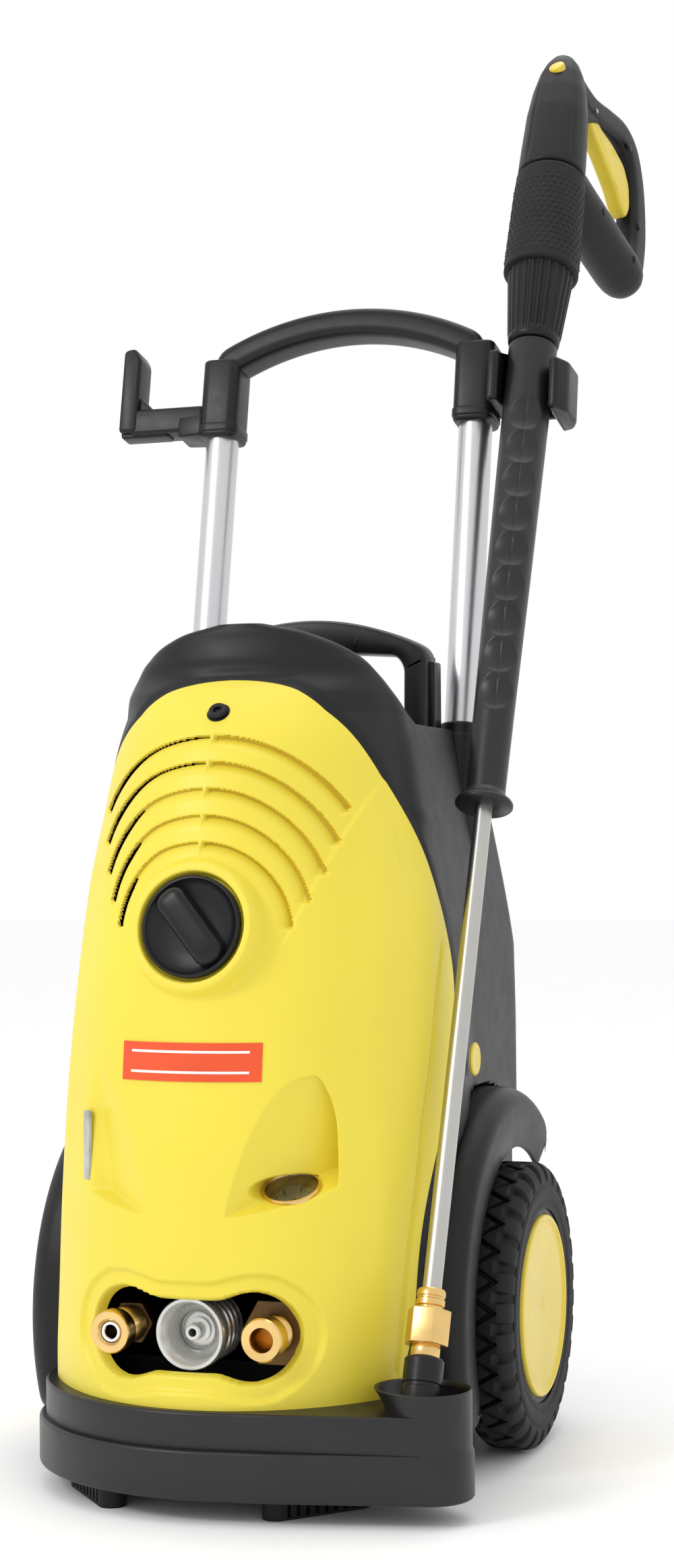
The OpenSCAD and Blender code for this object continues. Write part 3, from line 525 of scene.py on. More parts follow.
def build_cover():
    across, up = 560, 600
    u = np.linspace(-1, 1, across)[None, :]
    # Closer rows over the vents and the scoop
    v = np.interp(np.linspace(0, 1, up), (0, 0.12, 0.36, 0.45, 1), (0, 0.22, 0.46, 0.60, 1))[:, None]
    heights = np.linspace(COVER_SHOULDER, COVER_TOP, 200)
    angles = edge_angle(heights)
    shoulder = angles[0]
    top = np.interp(np.abs(u) * shoulder, angles[::-1], heights[::-1])
    z = COVER_LOW + v * (top - COVER_LOW)
    side = edge_angle(COVER_LOW + v * (COVER_SHOULDER - COVER_LOW))
    angle = u * (side + 0 * z)
    points, normals = skin_point(angle, z), skin_normal(angle, z)
    # Points just inside the front opening's edge move onto it, so that its outline is smooth
    x, y, height = points[..., 0], points[..., 1], points[..., 2]
    port = port_distance(x, height)
    inside = (port < 0) & (y < FEATURES_Y)
    slope_x = (port_distance(x + 0.1, height) - port_distance(x - 0.1, height)) / 0.2
    slope_z = (port_distance(x, height + 0.1) - port_distance(x, height - 0.1)) / 0.2
    near = inside & (port > -2.5)
    on_x, on_z = x - port * slope_x, height - port * slope_z
    points = np.where(near[..., None], np.stack([on_x, skin_y(on_x, on_z), on_z], -1), points)
    points, hole, wall = shaped_cover(points, normals)
    hole |= inside
    faces = grid_faces(up, across, False)
    keep = ~hole.reshape(-1)[faces].all(axis=1)
    shaded = keep & wall.reshape(-1)[faces].all(axis=1)
    # The vents' narrow walls get the darker amber: painted shade
    add_mesh("vent_walls_painted_shade", points, faces[shaded], PAINTED_SHADE_AMBER, "machine", "cover", split=0)
    keep &= ~shaded
    rims = 5
    for axis, at_end in ((0, True), (0, False), (1, True), (1, False)):
        points, normals = rim_added(points, normals, axis, at_end)
    faces = grid_faces(up + 2 * rims, across + 2 * rims, False)
    kept = np.ones((up + 2 * rims - 1, across + 2 * rims - 1), bool)
    kept[rims:-rims, rims:-rims] = keep.reshape(up - 1, across - 1)
    for rows in (slice(0, rims), slice(-rims, None)):
        for columns in (slice(0, rims), slice(-rims, None)):
            kept[rows, columns] = False
    add_mesh("cover_shell", points, faces[kept.reshape(-1)], YELLOW, "machine", "cover", "front_cover",
             split=0)


def back_y(z):
    crest = np.maximum(mid_y(z) + 5, 58 - (z - 560) * 2.1)
    return np.where(z < 330, 234.0, np.where(z < DECK_Z, 234 - (z - 330) * 0.07, crest))


def level(z, front_steps=140):
    """One closed level of the casing, anticlockwise from the left end of the front."""
    a = np.linspace(-math.pi / 2, math.pi / 2, front_steps)
    front = skin_point(a, np.full(front_steps, z))[:, :2]
    w = float(half_width(z))
    back, side, mid = float(back_y(z)), min(w, BACK_SIDE), float(mid_y(z))
    r = max(2.0, min(24.0, side * 0.6, (back - mid) * 0.9))
    if z < DECK_Z:
        # The deck's back edge is rounded
        back -= DECK_ROUND - math.sqrt(DECK_ROUND ** 2 - max(z - DECK_Z + DECK_ROUND, 0) ** 2)
    pull = np.linspace(0, 1, 36)[1:]
    taper = smooth(0, 0.35, pull)
    right = np.stack([w + (side - w) * taper, mid + (back - r - mid) * pull], 1)
    corner = [(side - r + r * math.cos(t), back - r + r * math.sin(t))
              for t in np.linspace(0, math.pi / 2, 9)[1:]]
    half = np.concatenate([right, corner])
    straight = np.stack([np.linspace(half[-1, 0], -half[-1, 0], 26)[1:-1], np.full(24, back)], 1)
    return np.concatenate([front, half, straight, half[::-1] * (-1, 1)])


def build_housing():
    heights = np.concatenate([np.linspace(70, 545, 170), np.linspace(546.5, 559.9, 12),
                              np.linspace(560.1, 622, 60), np.linspace(622.6, 634, 30)])
    rings = np.stack([np.column_stack([level(z), np.full(len(level(z)), z)]) for z in heights])
    along = np.roll(rings, -1, 1) - np.roll(rings, 1, 1)
    normals = unit(np.cross(along, np.gradient(rings, axis=0)))
    x, y, z = rings[..., 0], rings[..., 1], rings[..., 2]
    ahead = np.where(z < COVER_TOP, edge_y(z) - y, front_y(z) - y - (z - COVER_TOP))
    depth = 1.6 * smooth(-9, -2, ahead) + 5 * smooth(3, 8, ahead)
    rings = rings - normals * depth[..., None]
    # Room for the wheels
    reach = np.hypot(y - AXLE[1], z - AXLE[2])
    arch = (1 - smooth(168, 170, reach)) * (np.abs(x) > ARCH_X)
    across = np.abs(rings[..., 0])
    rings[..., 0] = np.where(arch > 0, np.sign(x) * (ARCH_X * arch + across * (1 - arch)), rings[..., 0])
    faces = grid_faces(len(heights), rings.shape[1], True)
    hidden = (ahead > 13).reshape(-1)[faces].all(axis=1)
    faces = [list(f) for f in faces[~hidden]]
    count = rings.shape[1]
    faces.append(list(range((len(heights) - 1) * count, len(heights) * count)))
    shell = (rings.reshape(-1, 3), faces)
    # The dark wall behind the fittings, and a boss round each handle tube
    wall = slab(rounded_rect(210, 96, 14), 0, 4, 1, facing((0, -104, 128)))
    boss = [(14.6, -110), (16, -112), (20.5, -108), (20.5, -1), (19.5, 0.6), (18.4, 1), (18.1, 0), (14.6, -4)]
    bosses = [lathe(boss, tube_frame(BUSH_Z, side), 72) for side in (-1, 1)]
    add_mesh("housing_shell", *joined(shell, wall, *bosses), BLACK, "machine", "housing", "rear_housing",
             split=40)


def skin_patch(xs, zs, lift):
    """A grid that lies on the casing's front, lifted off it."""
    x, z = np.meshgrid(xs, zs)
    return np.stack([x, skin_y(x, z) - lift, z], -1)


def build_badge():
    rows, columns = 10, 34
    count = rows * columns
    front = grid_faces(rows, columns, False)
    index = np.arange(count).reshape(rows, columns)
    ring = [*index[0], *index[1:, -1], *index[-1, -2::-1], *index[-2:0:-1, 0]]
    sides = [[a + count, b + count, b, a] for a, b in zip(ring, ring[1:] + ring[:1])]
    faces = [*front, *(front[:, ::-1] + count), *sides]

    def plate(name, x0, x1, z0, z1, base, lift, material, stands_for=""):
        xs, zs = np.linspace(x0, x1, columns), np.linspace(z0, z1, rows)
        points = np.concatenate([skin_patch(xs, zs, height).reshape(-1, 3) for height in (lift, base)])
        add_mesh(name, points, faces, material, "machine", "badge_plastic", stands_for)

    plate("badge_plate", -54, 52, 302, 329, -1.0, 1.0, RED, "badge")
    plate("badge_rule_low", -46, 44, 307.5, 309.2, 0.8, 1.25, WHITE)
    plate("badge_rule_high", -46, 44, 321.8, 323.5, 0.8, 1.25, WHITE)


# Mudguards
GUARD_FROM, GUARD_TO = 53, 207
GUARD_IN, GUARD_OUT = 134.3, 172.0


def build_guards():
    section = rounded([(168, GUARD_IN), (168, 160), (160, GUARD_OUT), (138, GUARD_OUT), (121, GUARD_OUT - 3),
                       (121, GUARD_OUT - 7), (137, GUARD_OUT - 5), (158, GUARD_OUT - 5), (164, 158),
                       (164, GUARD_IN)], 7)
    angles = np.radians(np.linspace(GUARD_FROM, GUARD_TO, 110))
    for side, name in SIDES:
        rings = []
        for a in angles:
            near_end = min(math.degrees(a - angles[0]), math.degrees(angles[-1] - a))
            shrink = 9 * (1 - math.sqrt(max(0, 1 - (1 - min(near_end / 4.5, 1)) ** 2)))
            r = np.where(section[:, 0] > 140, section[:, 0] - shrink, section[:, 0] + shrink)
            rings.append(np.stack([side * section[:, 1], AXLE[1] + r * math.cos(a),
                                   AXLE[2] + r * math.sin(a)], 1))
        rings = rings if side > 0 else rings[::-1]
        add_mesh("guard_" + name, *rings_mesh(rings), BLACK, "machine", "guard_plastic", "fender_" + name)


# Base tray
CUP = (166.0, -126.0)
CUP_R = 31.0


def base_outline(front, cup_r):
    """The tray's outline, anticlockwise, stepped in by front at the front. It meets the cup smoothly."""
    arc = [(-(154 - front) * math.cos(math.radians(a)), -50 - (137 - front) * math.sin(math.radians(a)))
           for a in range(8, 105, 4)]
    last = np.array([66, -180 + front])
    reach = np.array(CUP) - last
    touch = math.atan2(reach[1], reach[0]) - math.asin(cup_r / np.linalg.norm(reach)) - math.pi / 2
    round_cup = [(CUP[0] + cup_r * math.cos(touch + a), CUP[1] + cup_r * math.sin(touch + a))
                 for a in np.linspace(0, 2.2, 14)]
    points = [(-148, -62)] + arc + [last] + round_cup + [
        (140, -64), (134, -56), (134, 236), (-134, 236), (-134, -60)]
    return rounded(points, 7, steps=4)


def build_base():
    lower = slab(base_outline(0, CUP_R), 16, 50.5, 2.5)
    upper = slab(base_outline(5, CUP_R - 1.2), 48, 76, 2.5)
    # The cup: its wall flares to the left towards the rim
    turn = full_turn(96)
    side = np.clip(np.cos(turn - math.radians(168)), 0, 1) ** 1.5

    def level_ring(r, z):
        flare = 11 * (max(0.0, z - 73) / 18) ** 1.5
        return ring_at(r + flare * side, turn, z) + (*CUP, 0)

    outside = [(CUP_R - 2, 16), (CUP_R, 18), (CUP_R, 48), (CUP_R - 1.2, 51)]
    outside += [(CUP_R - 1.2, z) for z in np.linspace(56, 90, 12)]
    inside = [(CUP_R - 1.9, 90.8), (CUP_R - 2.8, 90.8)]
    inside += [(CUP_R - 3.5, z) for z in np.linspace(89.8, 63, 10)]
    cup = rings_mesh([level_ring(r, z) for r, z in outside + inside])
    add_mesh("base_shell", *joined(lower, upper, cup), BLACK_SHEEN, "machine", "base_plastic", "base_tray")


# Wheels
TYRE_IN, TYRE_W, RIM_R = 147.0, 45.0, 74.0
TREADS = 30


def build_wheels():
    half = [(RIM_R, 2), (90, 0), (103, 2), (109.7, 8)]
    profile = rounded(half + [(r, TYRE_W - h) for r, h in half[::-1]], 7, closed=False, steps=8)
    fine = curve_through(profile, 90)
    steps = 900
    turn = full_turn(steps)[None, :]
    r, h = fine[:, :1], fine[:, 1:]
    # A zigzag groove round the crown, and slanted lugs running out over both shoulders
    phase = (turn * TREADS / (2 * math.pi)) % 1.0
    saw = np.abs(phase * 2 - 1)
    crown = smooth(98, 106, r)
    zig = np.abs(h - (TYRE_W / 2 + (saw - 0.5) * 17))
    depth = 4.5 * (1 - smooth(2.0, 3.4, zig)) * crown
    for offset, low, high in ((0.0, TYRE_W - 13, TYRE_W), (0.5, -1, 13)):
        lug = np.abs((phase + offset) % 1.0 - 0.5)
        depth = np.maximum(depth, 5.0 * (1 - smooth(0.14, 0.22, lug)) * smooth(low - 2, low + 2, h)
                           * (1 - smooth(high - 2, high + 2, h)) * smooth(94, 99, r))
    ring = 1.2 * np.exp(-((r - 93) / 1.6) ** 2) + 0.8 * np.exp(-((r - 80) / 1.2) ** 2)
    wall_in = np.sign(TYRE_W / 2 - h) * ring
    radius = r - depth
    height = h + wall_in + 0 * turn
    for side, name in SIDES:
        points = np.stack([radius * np.cos(turn), radius * np.sin(turn), height], -1)
        points = placed(AXLE_FRAME @ moved(0, 0, TYRE_IN), points) * (side, 1, 1)
        faces = grid_faces(len(fine), steps, True)
        add_mesh("tyre_" + name + "_tread", points, faces if side < 0 else faces[:, ::-1], RUBBER,
                 "wheel_" + name, "tyre", "tyre_" + name, split=50)
        dish = [(0, 3), (20, 3.4), (40, 4.6), (58, 5.2), (64, 4.6), (66.5, 6.8), (69, 6.8), (69.8, 4),
                (69.8, -5), (64, -5), (60, 0), (0, -2)]
        cap, cap_faces = lathe(dish, AXLE_FRAME @ moved(0, 0, 185), 120, soften=1.5)
        add_mesh("hub_" + name + "_disc", cap * (side, 1, 1), cap_faces, YELLOW_GLOSS, "wheel_" + name,
                 "hub_plastic", "hub_cap_" + name)


# Trolley handle
TUBE_R, TUBE_LOW = 14.0, 400.0
ARCH_BEND, ARCH_MID = 222.0, 97.0


def build_handle():
    length = (SOCKET_Z + 49 - TUBE_LOW) / math.cos(math.radians(TUBE_LEAN))
    for side, name in SIDES:
        tube = lathe([(TUBE_R, 0), (TUBE_R, length), (TUBE_R - 1.5, length), (TUBE_R - 1.5, 0)],
                     tube_frame(TUBE_LOW, side), 64, soften=0.4)
        add_mesh("tube_" + name, *tube, ALUMINIUM, "handle", "tube", "handle_tube_" + name)
        turned_piece("guide_" + name, [(14.3, -4), (18.6, -4), (18.6, 9), (17.4, 10.4), (14.3, 10.4)],
                     tube_frame(BUSH_Z, side), 64, BLACK_SATIN, "machine", "bush_plastic")
    half = math.asin(TUBE_X / ARCH_BEND)
    sweep_angles = np.linspace(-half, half, 60)
    arch = [(ARCH_BEND * math.sin(a), 0, ARCH_MID - ARCH_BEND * (1 - math.cos(a))) for a in sweep_angles]
    end_z = ARCH_MID - ARCH_BEND * (1 - math.cos(half))
    path = [(-TUBE_X, 0, end_z - 26), (-TUBE_X, 0, end_z - 12)] + arch[2:-2] + [
        (TUBE_X, 0, end_z - 12), (TUBE_X, 0, end_z - 26)]
    path = curve_through(rounded(path, 14, closed=False, steps=4), 140)
    arch_piece = sweep(path, rounded_rect(32, 25, 9), GRIP)
    sockets = [slab(rounded_rect(34, 36, 9) + (side * TUBE_X, 0), 0, 70, 3, GRIP) for side in (-1, 1)]
    collars = [slab(rounded_rect(36, 38, 10) + (side * TUBE_X, 0), 4, 12, 1.5, GRIP) for side in (-1, 1)]
    add_mesh("grip_arch", *joined(arch_piece, *sockets, *collars), BLACK_SATIN, "handle", "grip_plastic",
             "handle_grip")


def build_hose_hook():
    arm = slab(rounded([(-196, -12), (-TUBE_X - 15, -12), (-TUBE_X - 15, 13), (-196, 13)], 4), 8, 31, 3, GRIP)
    web = slab(rounded([(-150, -14), (-TUBE_X - 14, -17), (-TUBE_X - 14, 17), (-150, 14)], 3), 2, 20, 2, GRIP)
    side_view = GRIP @ turned(90, "X")
    prong = rounded([(-206.5, 10), (-190, 10), (-190, 78), (-196, 88), (-206.5, 86)], 4)
    prong = slab(prong, -13.5, 13.5, 3, side_view)
    gusset = slab(rounded([(-206, 6), (-160, 6), (-178, 32), (-192, 46), (-206, 40)], 4), -8, 8, 2, side_view)
    add_mesh("hook_arm", *joined(arm, web, prong, gusset), BLACK_SATIN, "handle", "grip_plastic", "hose_hook")


def build_lance_clip():
    arm = rounded([(131, -38), (140.5, -38), (140.8, 11.5), (186, 11.5), (186, 19.5), (131, 19.5)], 4,
                  steps=6)
    arm = slab(arm, 8, 51.5, 3, GRIP)
    jaw = rounded([(183.2, 19.5), (183.2, -38), (190, -40), (198, -26), (199, 2), (194, 15)], 4, steps=6)
    jaw = slab(jaw, -3, 41, 3, GRIP)
    jaw_ribs = [slab(rounded([(130.6, -20), (139, -20), (139, 19.8), (130.6, 19.8)], 2), z, z + 3, 1, GRIP)
                for z in (18, 28, 38)]
    add_mesh("clip_jaw", *joined(arm, jaw, *jaw_ribs), BLACK_SATIN, "handle", "grip_plastic", "lance_clip")


def build_carry_handle():
    """A flat-topped hoop over the deck on two posts, with a ledge down the outside of each post."""
    crown = [(x, 650 - 20 * (x / 88) ** 2) for x in np.linspace(88, -88, 19)]
    outer = [(99, 548), (100, 617), (96, 625)] + crown + [(-96, 625), (-100, 617), (-99, 548)]
    inner = [(-79, 548), (-80, 610), (-74, 619), (-40, 621.5), (40, 621.5), (74, 619), (80, 610), (79, 548)]
    # The two outlines run side by side, so the hoop is a strip of rings rather than one face
    out_line, in_line = (curve_through(rounded(line, 6, closed=False), 160) for line in (outer, inner[::-1]))
    rings = []
    for (ox, oz), (ix, iz) in zip(out_line, in_line):
        o, i = np.array([ox, oz]), np.array([ix, iz])
        reach = unit(i - o)
        rings.append([(at[0] + reach[0] * d, y, at[1] + reach[1] * d) for at, d, y in (
            (o, 0, 111), (o, 0, 131), (o, 1.6, 134.6), (o, 5, 136), (i, -5, 136), (i, -1.6, 134.6),
            (i, 0, 131), (i, 0, 111), (i, -1.6, 107.4), (i, -5, 106), (o, 5, 106), (o, 1.6, 107.4))])
    ledges = [slab(rounded_rect(7, 20, 2) + (side * 100.5, 124), 548, 614, 2) for side in (-1, 1)]
    add_mesh("carry_arch", *joined(rings_mesh(rings), *ledges), BLACK_SATIN, "machine", "handle_plastic",
             "carry_handle", split=40)


# Switch, gauge and small trim
def build_knob():
    knob = facing(KNOB_AT, KNOB_TILT)
    disc = lathe([(0, -5.5), (36, -5.5), (37, -4.5), (37, 0.2), (36.1, 1.2), (34.7, 1.2), (33.1, -0.8),
                  (29, -3), (18, -4.4), (0, -4.6)], knob, 120)
    count = 26
    rings = []
    for t in np.linspace(-1, 1, 60):
        # The broad bar has round ends that dip into the dish
        end = max(0.0, (abs(t) - 0.72) / 0.28)
        half = 12 * math.sqrt(max(0.03, 1 - end * end))
        top = 8.6 * math.sqrt(max(0.0, 1 - abs(t) ** 7))
        a = np.linspace(0, math.pi, count)
        arc = np.stack([half * np.sign(np.cos(a)) * np.abs(np.cos(a)) ** 0.55, np.full(count, 32.5 * t),
                        -4.4 + (top + 4.4) * np.sin(a) ** 0.55], 1)
        rings.append(arc)
    bar_points, bar_faces = rings_mesh(np.array(rings)[::-1])
    bar = (placed(knob @ turned(40, "Z"), bar_points), bar_faces)
    add_mesh("knob_dish", *joined(disc, bar), BLACK_SATIN, "knob", "black_trim", "switch_knob", split=50)


def build_gauge():
    gauge = facing(GAUGE_AT, GAUGE_TILT)
    turned_piece("gauge_case_shell", [(0, -16), (GAUGE_R, -16), (GAUGE_R, 1.2), (20.2, 2.2), (19.4, 2.2),
                 (18.8, 1.2), (18.8, -13), (0, -13)], gauge, 96, BRASS, "machine", "brass", "gauge_case")
    turned_piece("gauge_face", [(1.2, -12.9), (18.6, -12.9), (18.6, -11.8), (1.2, -11.8)], gauge, 96, DIAL,
                 "machine", "dial", "gauge_dial")
    ticks = []
    for k in range(25):
        size = 3.6 if k % 4 == 0 else 2.0
        at_tick = gauge @ turned(-135 + 270 * k / 24, "Z")
        tick = rounded_rect(0.5 if k % 4 else 0.9, size, 0.1, 1) + (0, 16.6 - size / 2)
        ticks.append(slab(tick, -11.8, -11.5, 0.1, at_tick))
    ticks.append(slab(rounded_rect(6, 2.2, 0.4, 2) + (0, -7), -11.8, -11.5, 0.1, gauge))
    add_mesh("gauge_ticks", *joined(*ticks), BLACK_SATIN, "machine", "dial")
    turned_piece("gauge_crystal", [(0, -1.4), (18.6, -1.4), (18.6, 0.2), (9, 0.8), (0, 1.0)], gauge, 96,
                 GLASS, "machine", "lens", "gauge_lens")


def build_small_trim():
    window = moved(-89, -131, 252) @ turned(-40, "Z") @ turned(90, "X")
    strip = slab(rounded_rect(9, 50, 1.5), -1.5, 1.4, 0.6, window)
    add_mesh("level_strip", *strip, SMOKED, "machine", "clear_window", "level_window")
    cap = moved(150.9, 50, 304) @ turned(90, "Y")
    turned_piece("side_button", [(0, 0.2), (12.8, 0.2), (12.8, 1.6), (11.6, 2.6), (8, 2.3), (0, 2.2)], cap,
                 64, YELLOW_GLOSS, "machine", "black_trim", "side_cap")
    screw = facing((0, -92, 565), 40)
    head = lathe([(0, 0.4), (7, 0.4), (7, 3.4), (6.2, 4.4), (3.4, 4.4), (3.1, 4.0), (3.1, 2.2), (0, 2.2)],
                 screw, 48)
    washer = lathe([(3, 0.0), (8.8, 0.0), (8.8, 0.7), (3, 0.7)], screw, 48)
    add_mesh("cover_bolt", *joined(head, washer), BLACK_SATIN, "machine", "steel_bright", "cover_screw")


# Fittings in the front opening
HEAD_Y = -108.0


def thread(r, low, high, pitch, matrix, steps=64):
    """Ridges round a fitting, from low to high."""
    profile = [(r - 1.0, low)]
    for k in range(int((high - low) / pitch)):
        z = low + k * pitch
        profile += [(r - 0.9, z + 0.1 * pitch), (r, z + 0.5 * pitch), (r - 0.9, z + 0.9 * pitch)]
    profile += [(r - 1.0, high), (r - 3, high), (r - 3, low)]
    return lathe(profile, matrix, steps)


def hexagon(across, low, high, matrix):
    r = across / math.sqrt(3)
    corners = [(r * math.cos(math.radians(a)), r * math.sin(math.radians(a))) for a in range(0, 360, 60)]
    return slab(rounded(corners, 1.2, steps=3), low, high, 1.0, matrix)


def build_outlet():
    out = facing((-57, HEAD_Y, PORT_Z))
    body = lathe([(7.5, -2), (12.3, -2), (12.3, 44), (13.6, 45), (15.3, 47), (15.3, 57), (14.2, 59),
                  (9.6, 59), (8.3, 57.5), (7.6, 56), (7.5, 20)], out, 72)
    add_mesh("outlet_body", *joined(body, thread(13.4, 22, 44, 2.4, out)), BRASS, "machine", "brass",
             "outlet_fitting")
    # The hex behind the outlet gets the darkened brass: painted shade
    add_mesh("outlet_hex", *hexagon(29, 6, 20, out), BRASS_PAINTED_SHADE, "machine", "brass")
    turned_piece("outlet_sleeve", [(4.6, 30), (7.4, 30), (7.4, 56.2), (6.8, 57), (5.2, 57), (4.6, 56.2)], out,
                 48, CHROME, "machine", "steel_bright", "outlet_insert")


def build_inlet():
    cup = facing((0, HEAD_Y, PORT_Z))
    bell = lathe([(6, -2), (20, -2), (20, 39), (25.4, 40.2), (26, 42), (26, 48), (25, 50), (22.8, 50),
                  (21.6, 48.8), (18.6, 42.5), (14.6, 36.8), (12.6, 33), (12.5, 26), (6, 26)], cup, 96)
    ribs = [lathe([(19, z), (24, z), (25, z + 0.9), (25, z + 2.5), (24, z + 3.4), (19, z + 3.4)], cup, 96)
            for z in (7, 15, 23, 31)]
    add_mesh("inlet_bell", *joined(bell, *ribs), NICKEL, "machine", "chrome", "inlet_coupling")
    turned_piece("inlet_core", [(3, 20), (5.9, 20), (5.9, 26), (12.3, 26), (12.3, 29), (9, 29.4), (9, 33),
                 (6.2, 33.5), (6, 43), (5, 44), (3, 44)], cup, 64, NICKEL, "machine", "chrome",
                 "inlet_nipple")


def build_bypass():
    low = facing((57, HEAD_Y, PORT_Z))
    body = lathe([(0, 20), (0, -2), (12, -2), (12, 43.6), (14, 44.4), (15.4, 46), (15.4, 57.6), (14.4, 59),
                  (8.8, 58.6), (8, 57), (8, 20)], low, 72)
    add_mesh("bypass_body", *joined(body, thread(13.4, 30, 42, 2.6, low)), BRASS, "machine", "brass",
             "bypass_fitting")


# Lance and gun
NUT_S, GUN_S, FLANGE_S = 887.0, 958.0, 468.0


def build_lance_tube():
    turned_piece("nozzle_tip", [(2.5, 0.4), (8, 0), (9, 1), (13.6, 11), (14, 13), (14, 25), (13, 25.6),
                 (13, 28), (14, 28.6), (14, 44.6), (13, 46), (2.5, 46), (2.5, 20)], LANCE, 72, BLACK_SATIN,
                 "lance", "nozzle_rubber", "nozzle")
    low = lathe([(5, 46), (9.6, 46), (10.3, 47), (10.3, 53.6), (9.4, 55.2), (5, 55.2)], LANCE, 64)
    high = lathe([(6.8, 79), (8.9, 79), (9, 82), (10.2, 83), (10.2, 87), (9.5, 87.6), (9.5, 88.8),
                  (10.2, 89.4), (10.2, 93), (9.4, 94.4), (6.8, 94.4)], LANCE, 64)
    add_mesh("union_collars", *joined(low, hexagon(27.8, 55, 80, LANCE), high), BRASS, "lance", "brass",
             "nozzle_union")
    turned_piece("lance_rod", [(4.8, 64), (6.8, 64), (6.8, NUT_S + 12), (4.8, NUT_S + 12)], LANCE, 56, STEEL,
                 "lance", "lance_steel", "lance_tube")


def build_lance_grip():
    """A flange and a collar, then a shaft with a row of thumb dimples and a mould line down its front."""
    grip, last = LANCE @ moved(0, 0, FLANGE_S), NUT_S - 2 - FLANGE_S
    s = np.linspace(5, last, 400)
    base = np.interp(s, [5, 83, 191, last], [15.2, 16.0, 17.6, 20.2])
    turn = full_turn(120)
    start, pitch, dimples, thumb_at = 92, 31.4, 9, math.radians(-75)
    end = start + dimples * pitch
    rings = []
    for at, r in zip(s, base):
        k = min(max(round((at - start) / pitch), 0), dimples - 1)
        along = (at - start - k * pitch) / 15.6
        side = r * np.sin(turn - thumb_at)
        ahead = np.cos(turn - thumb_at) > 0
        hollow = 3.0 * np.maximum(0, 1 - along ** 2 - (side / 13.5) ** 2) ** 0.75 * ahead
        in_row = float(smooth(start - 26, start - 18, at) * (1 - smooth(end - 8, end, at)))
        mould_line = 0.6 * in_row * np.exp(-(side / 0.7) ** 2) * ahead
        rings.append(ring_at(r - hollow - mould_line, turn, at))
    points, faces = rings_mesh(rings)
    shaft = (placed(grip, points), faces)
    flange = lathe([(6.9, 0), (21.4, 0), (22.3, 1), (22.3, 3), (21, 5), (17.5, 6.5), (15.4, 12), (6.9, 12)],
                   grip, 80)
    add_mesh("grip_shaft", *joined(shaft, flange), BLACK_SHEEN, "lance", "lance_plastic", "lance_grip",
             split=60)


def build_union_nut():
    steps, ribs = 288, 24
    turn = full_turn(steps)
    ridge = np.clip(np.cos(turn * ribs) * 1.6, -1, 1)
    rings = []
    length = GUN_S + 8 - NUT_S
    for at in np.linspace(0.5, length - 1, 50):
        t = at / length
        on = float(smooth(0.06, 0.16, t) * (1 - smooth(0.88, 0.96, t)))
        r = 21.0 + 7.0 * t - 2.4 * float(1 - smooth(0, 0.04, t))
        rings.append(ring_at(r + on * (0.9 * ridge - 0.4), turn, at))
    points, faces = rings_mesh(rings)
    add_mesh("nut_ribs", placed(LANCE @ moved(0, 0, NUT_S), points), faces, BLACK_SATIN, "nut", "black_trim",
             "union_nut", split=60)


GUN = LANCE @ moved(0, 0, GUN_S)
LOOP_SIDE = LOOP @ turned(90, "X")


def build_sleeve():
    """The studded sleeve over the start of the gun."""
    steps, rows = 360, 150
    turn = full_turn(steps)
    rings = []
    for at in np.linspace(0.3, 100.5, rows):
        t = at / 101
        r = 31.6 - 2 * t - 2.5 * float(1 - smooth(0, 0.02, t)) - 1.6 * float(smooth(0.97, 1, t))
        row = (at - 8) / 5.2
        column = turn * 32 / (2 * math.pi) + 0.5 * (np.floor(row) % 2)
        dot = np.hypot((row % 1 - 0.5) * 5.2, (column % 1 - 0.5) * 5.8)
        on = float(smooth(0.07, 0.09, t) * (1 - smooth(0.86, 0.88, t)))
        rings.append(ring_at(r + 0.7 * on * (1 - smooth(0.9, 1.7, dot)), turn, at))
    points, faces = rings_mesh(rings)
    add_mesh("sleeve_studs", placed(GUN, points), faces, RUBBER, "lance", "sleeve_rubber", "gun_sleeve",
             split=0)


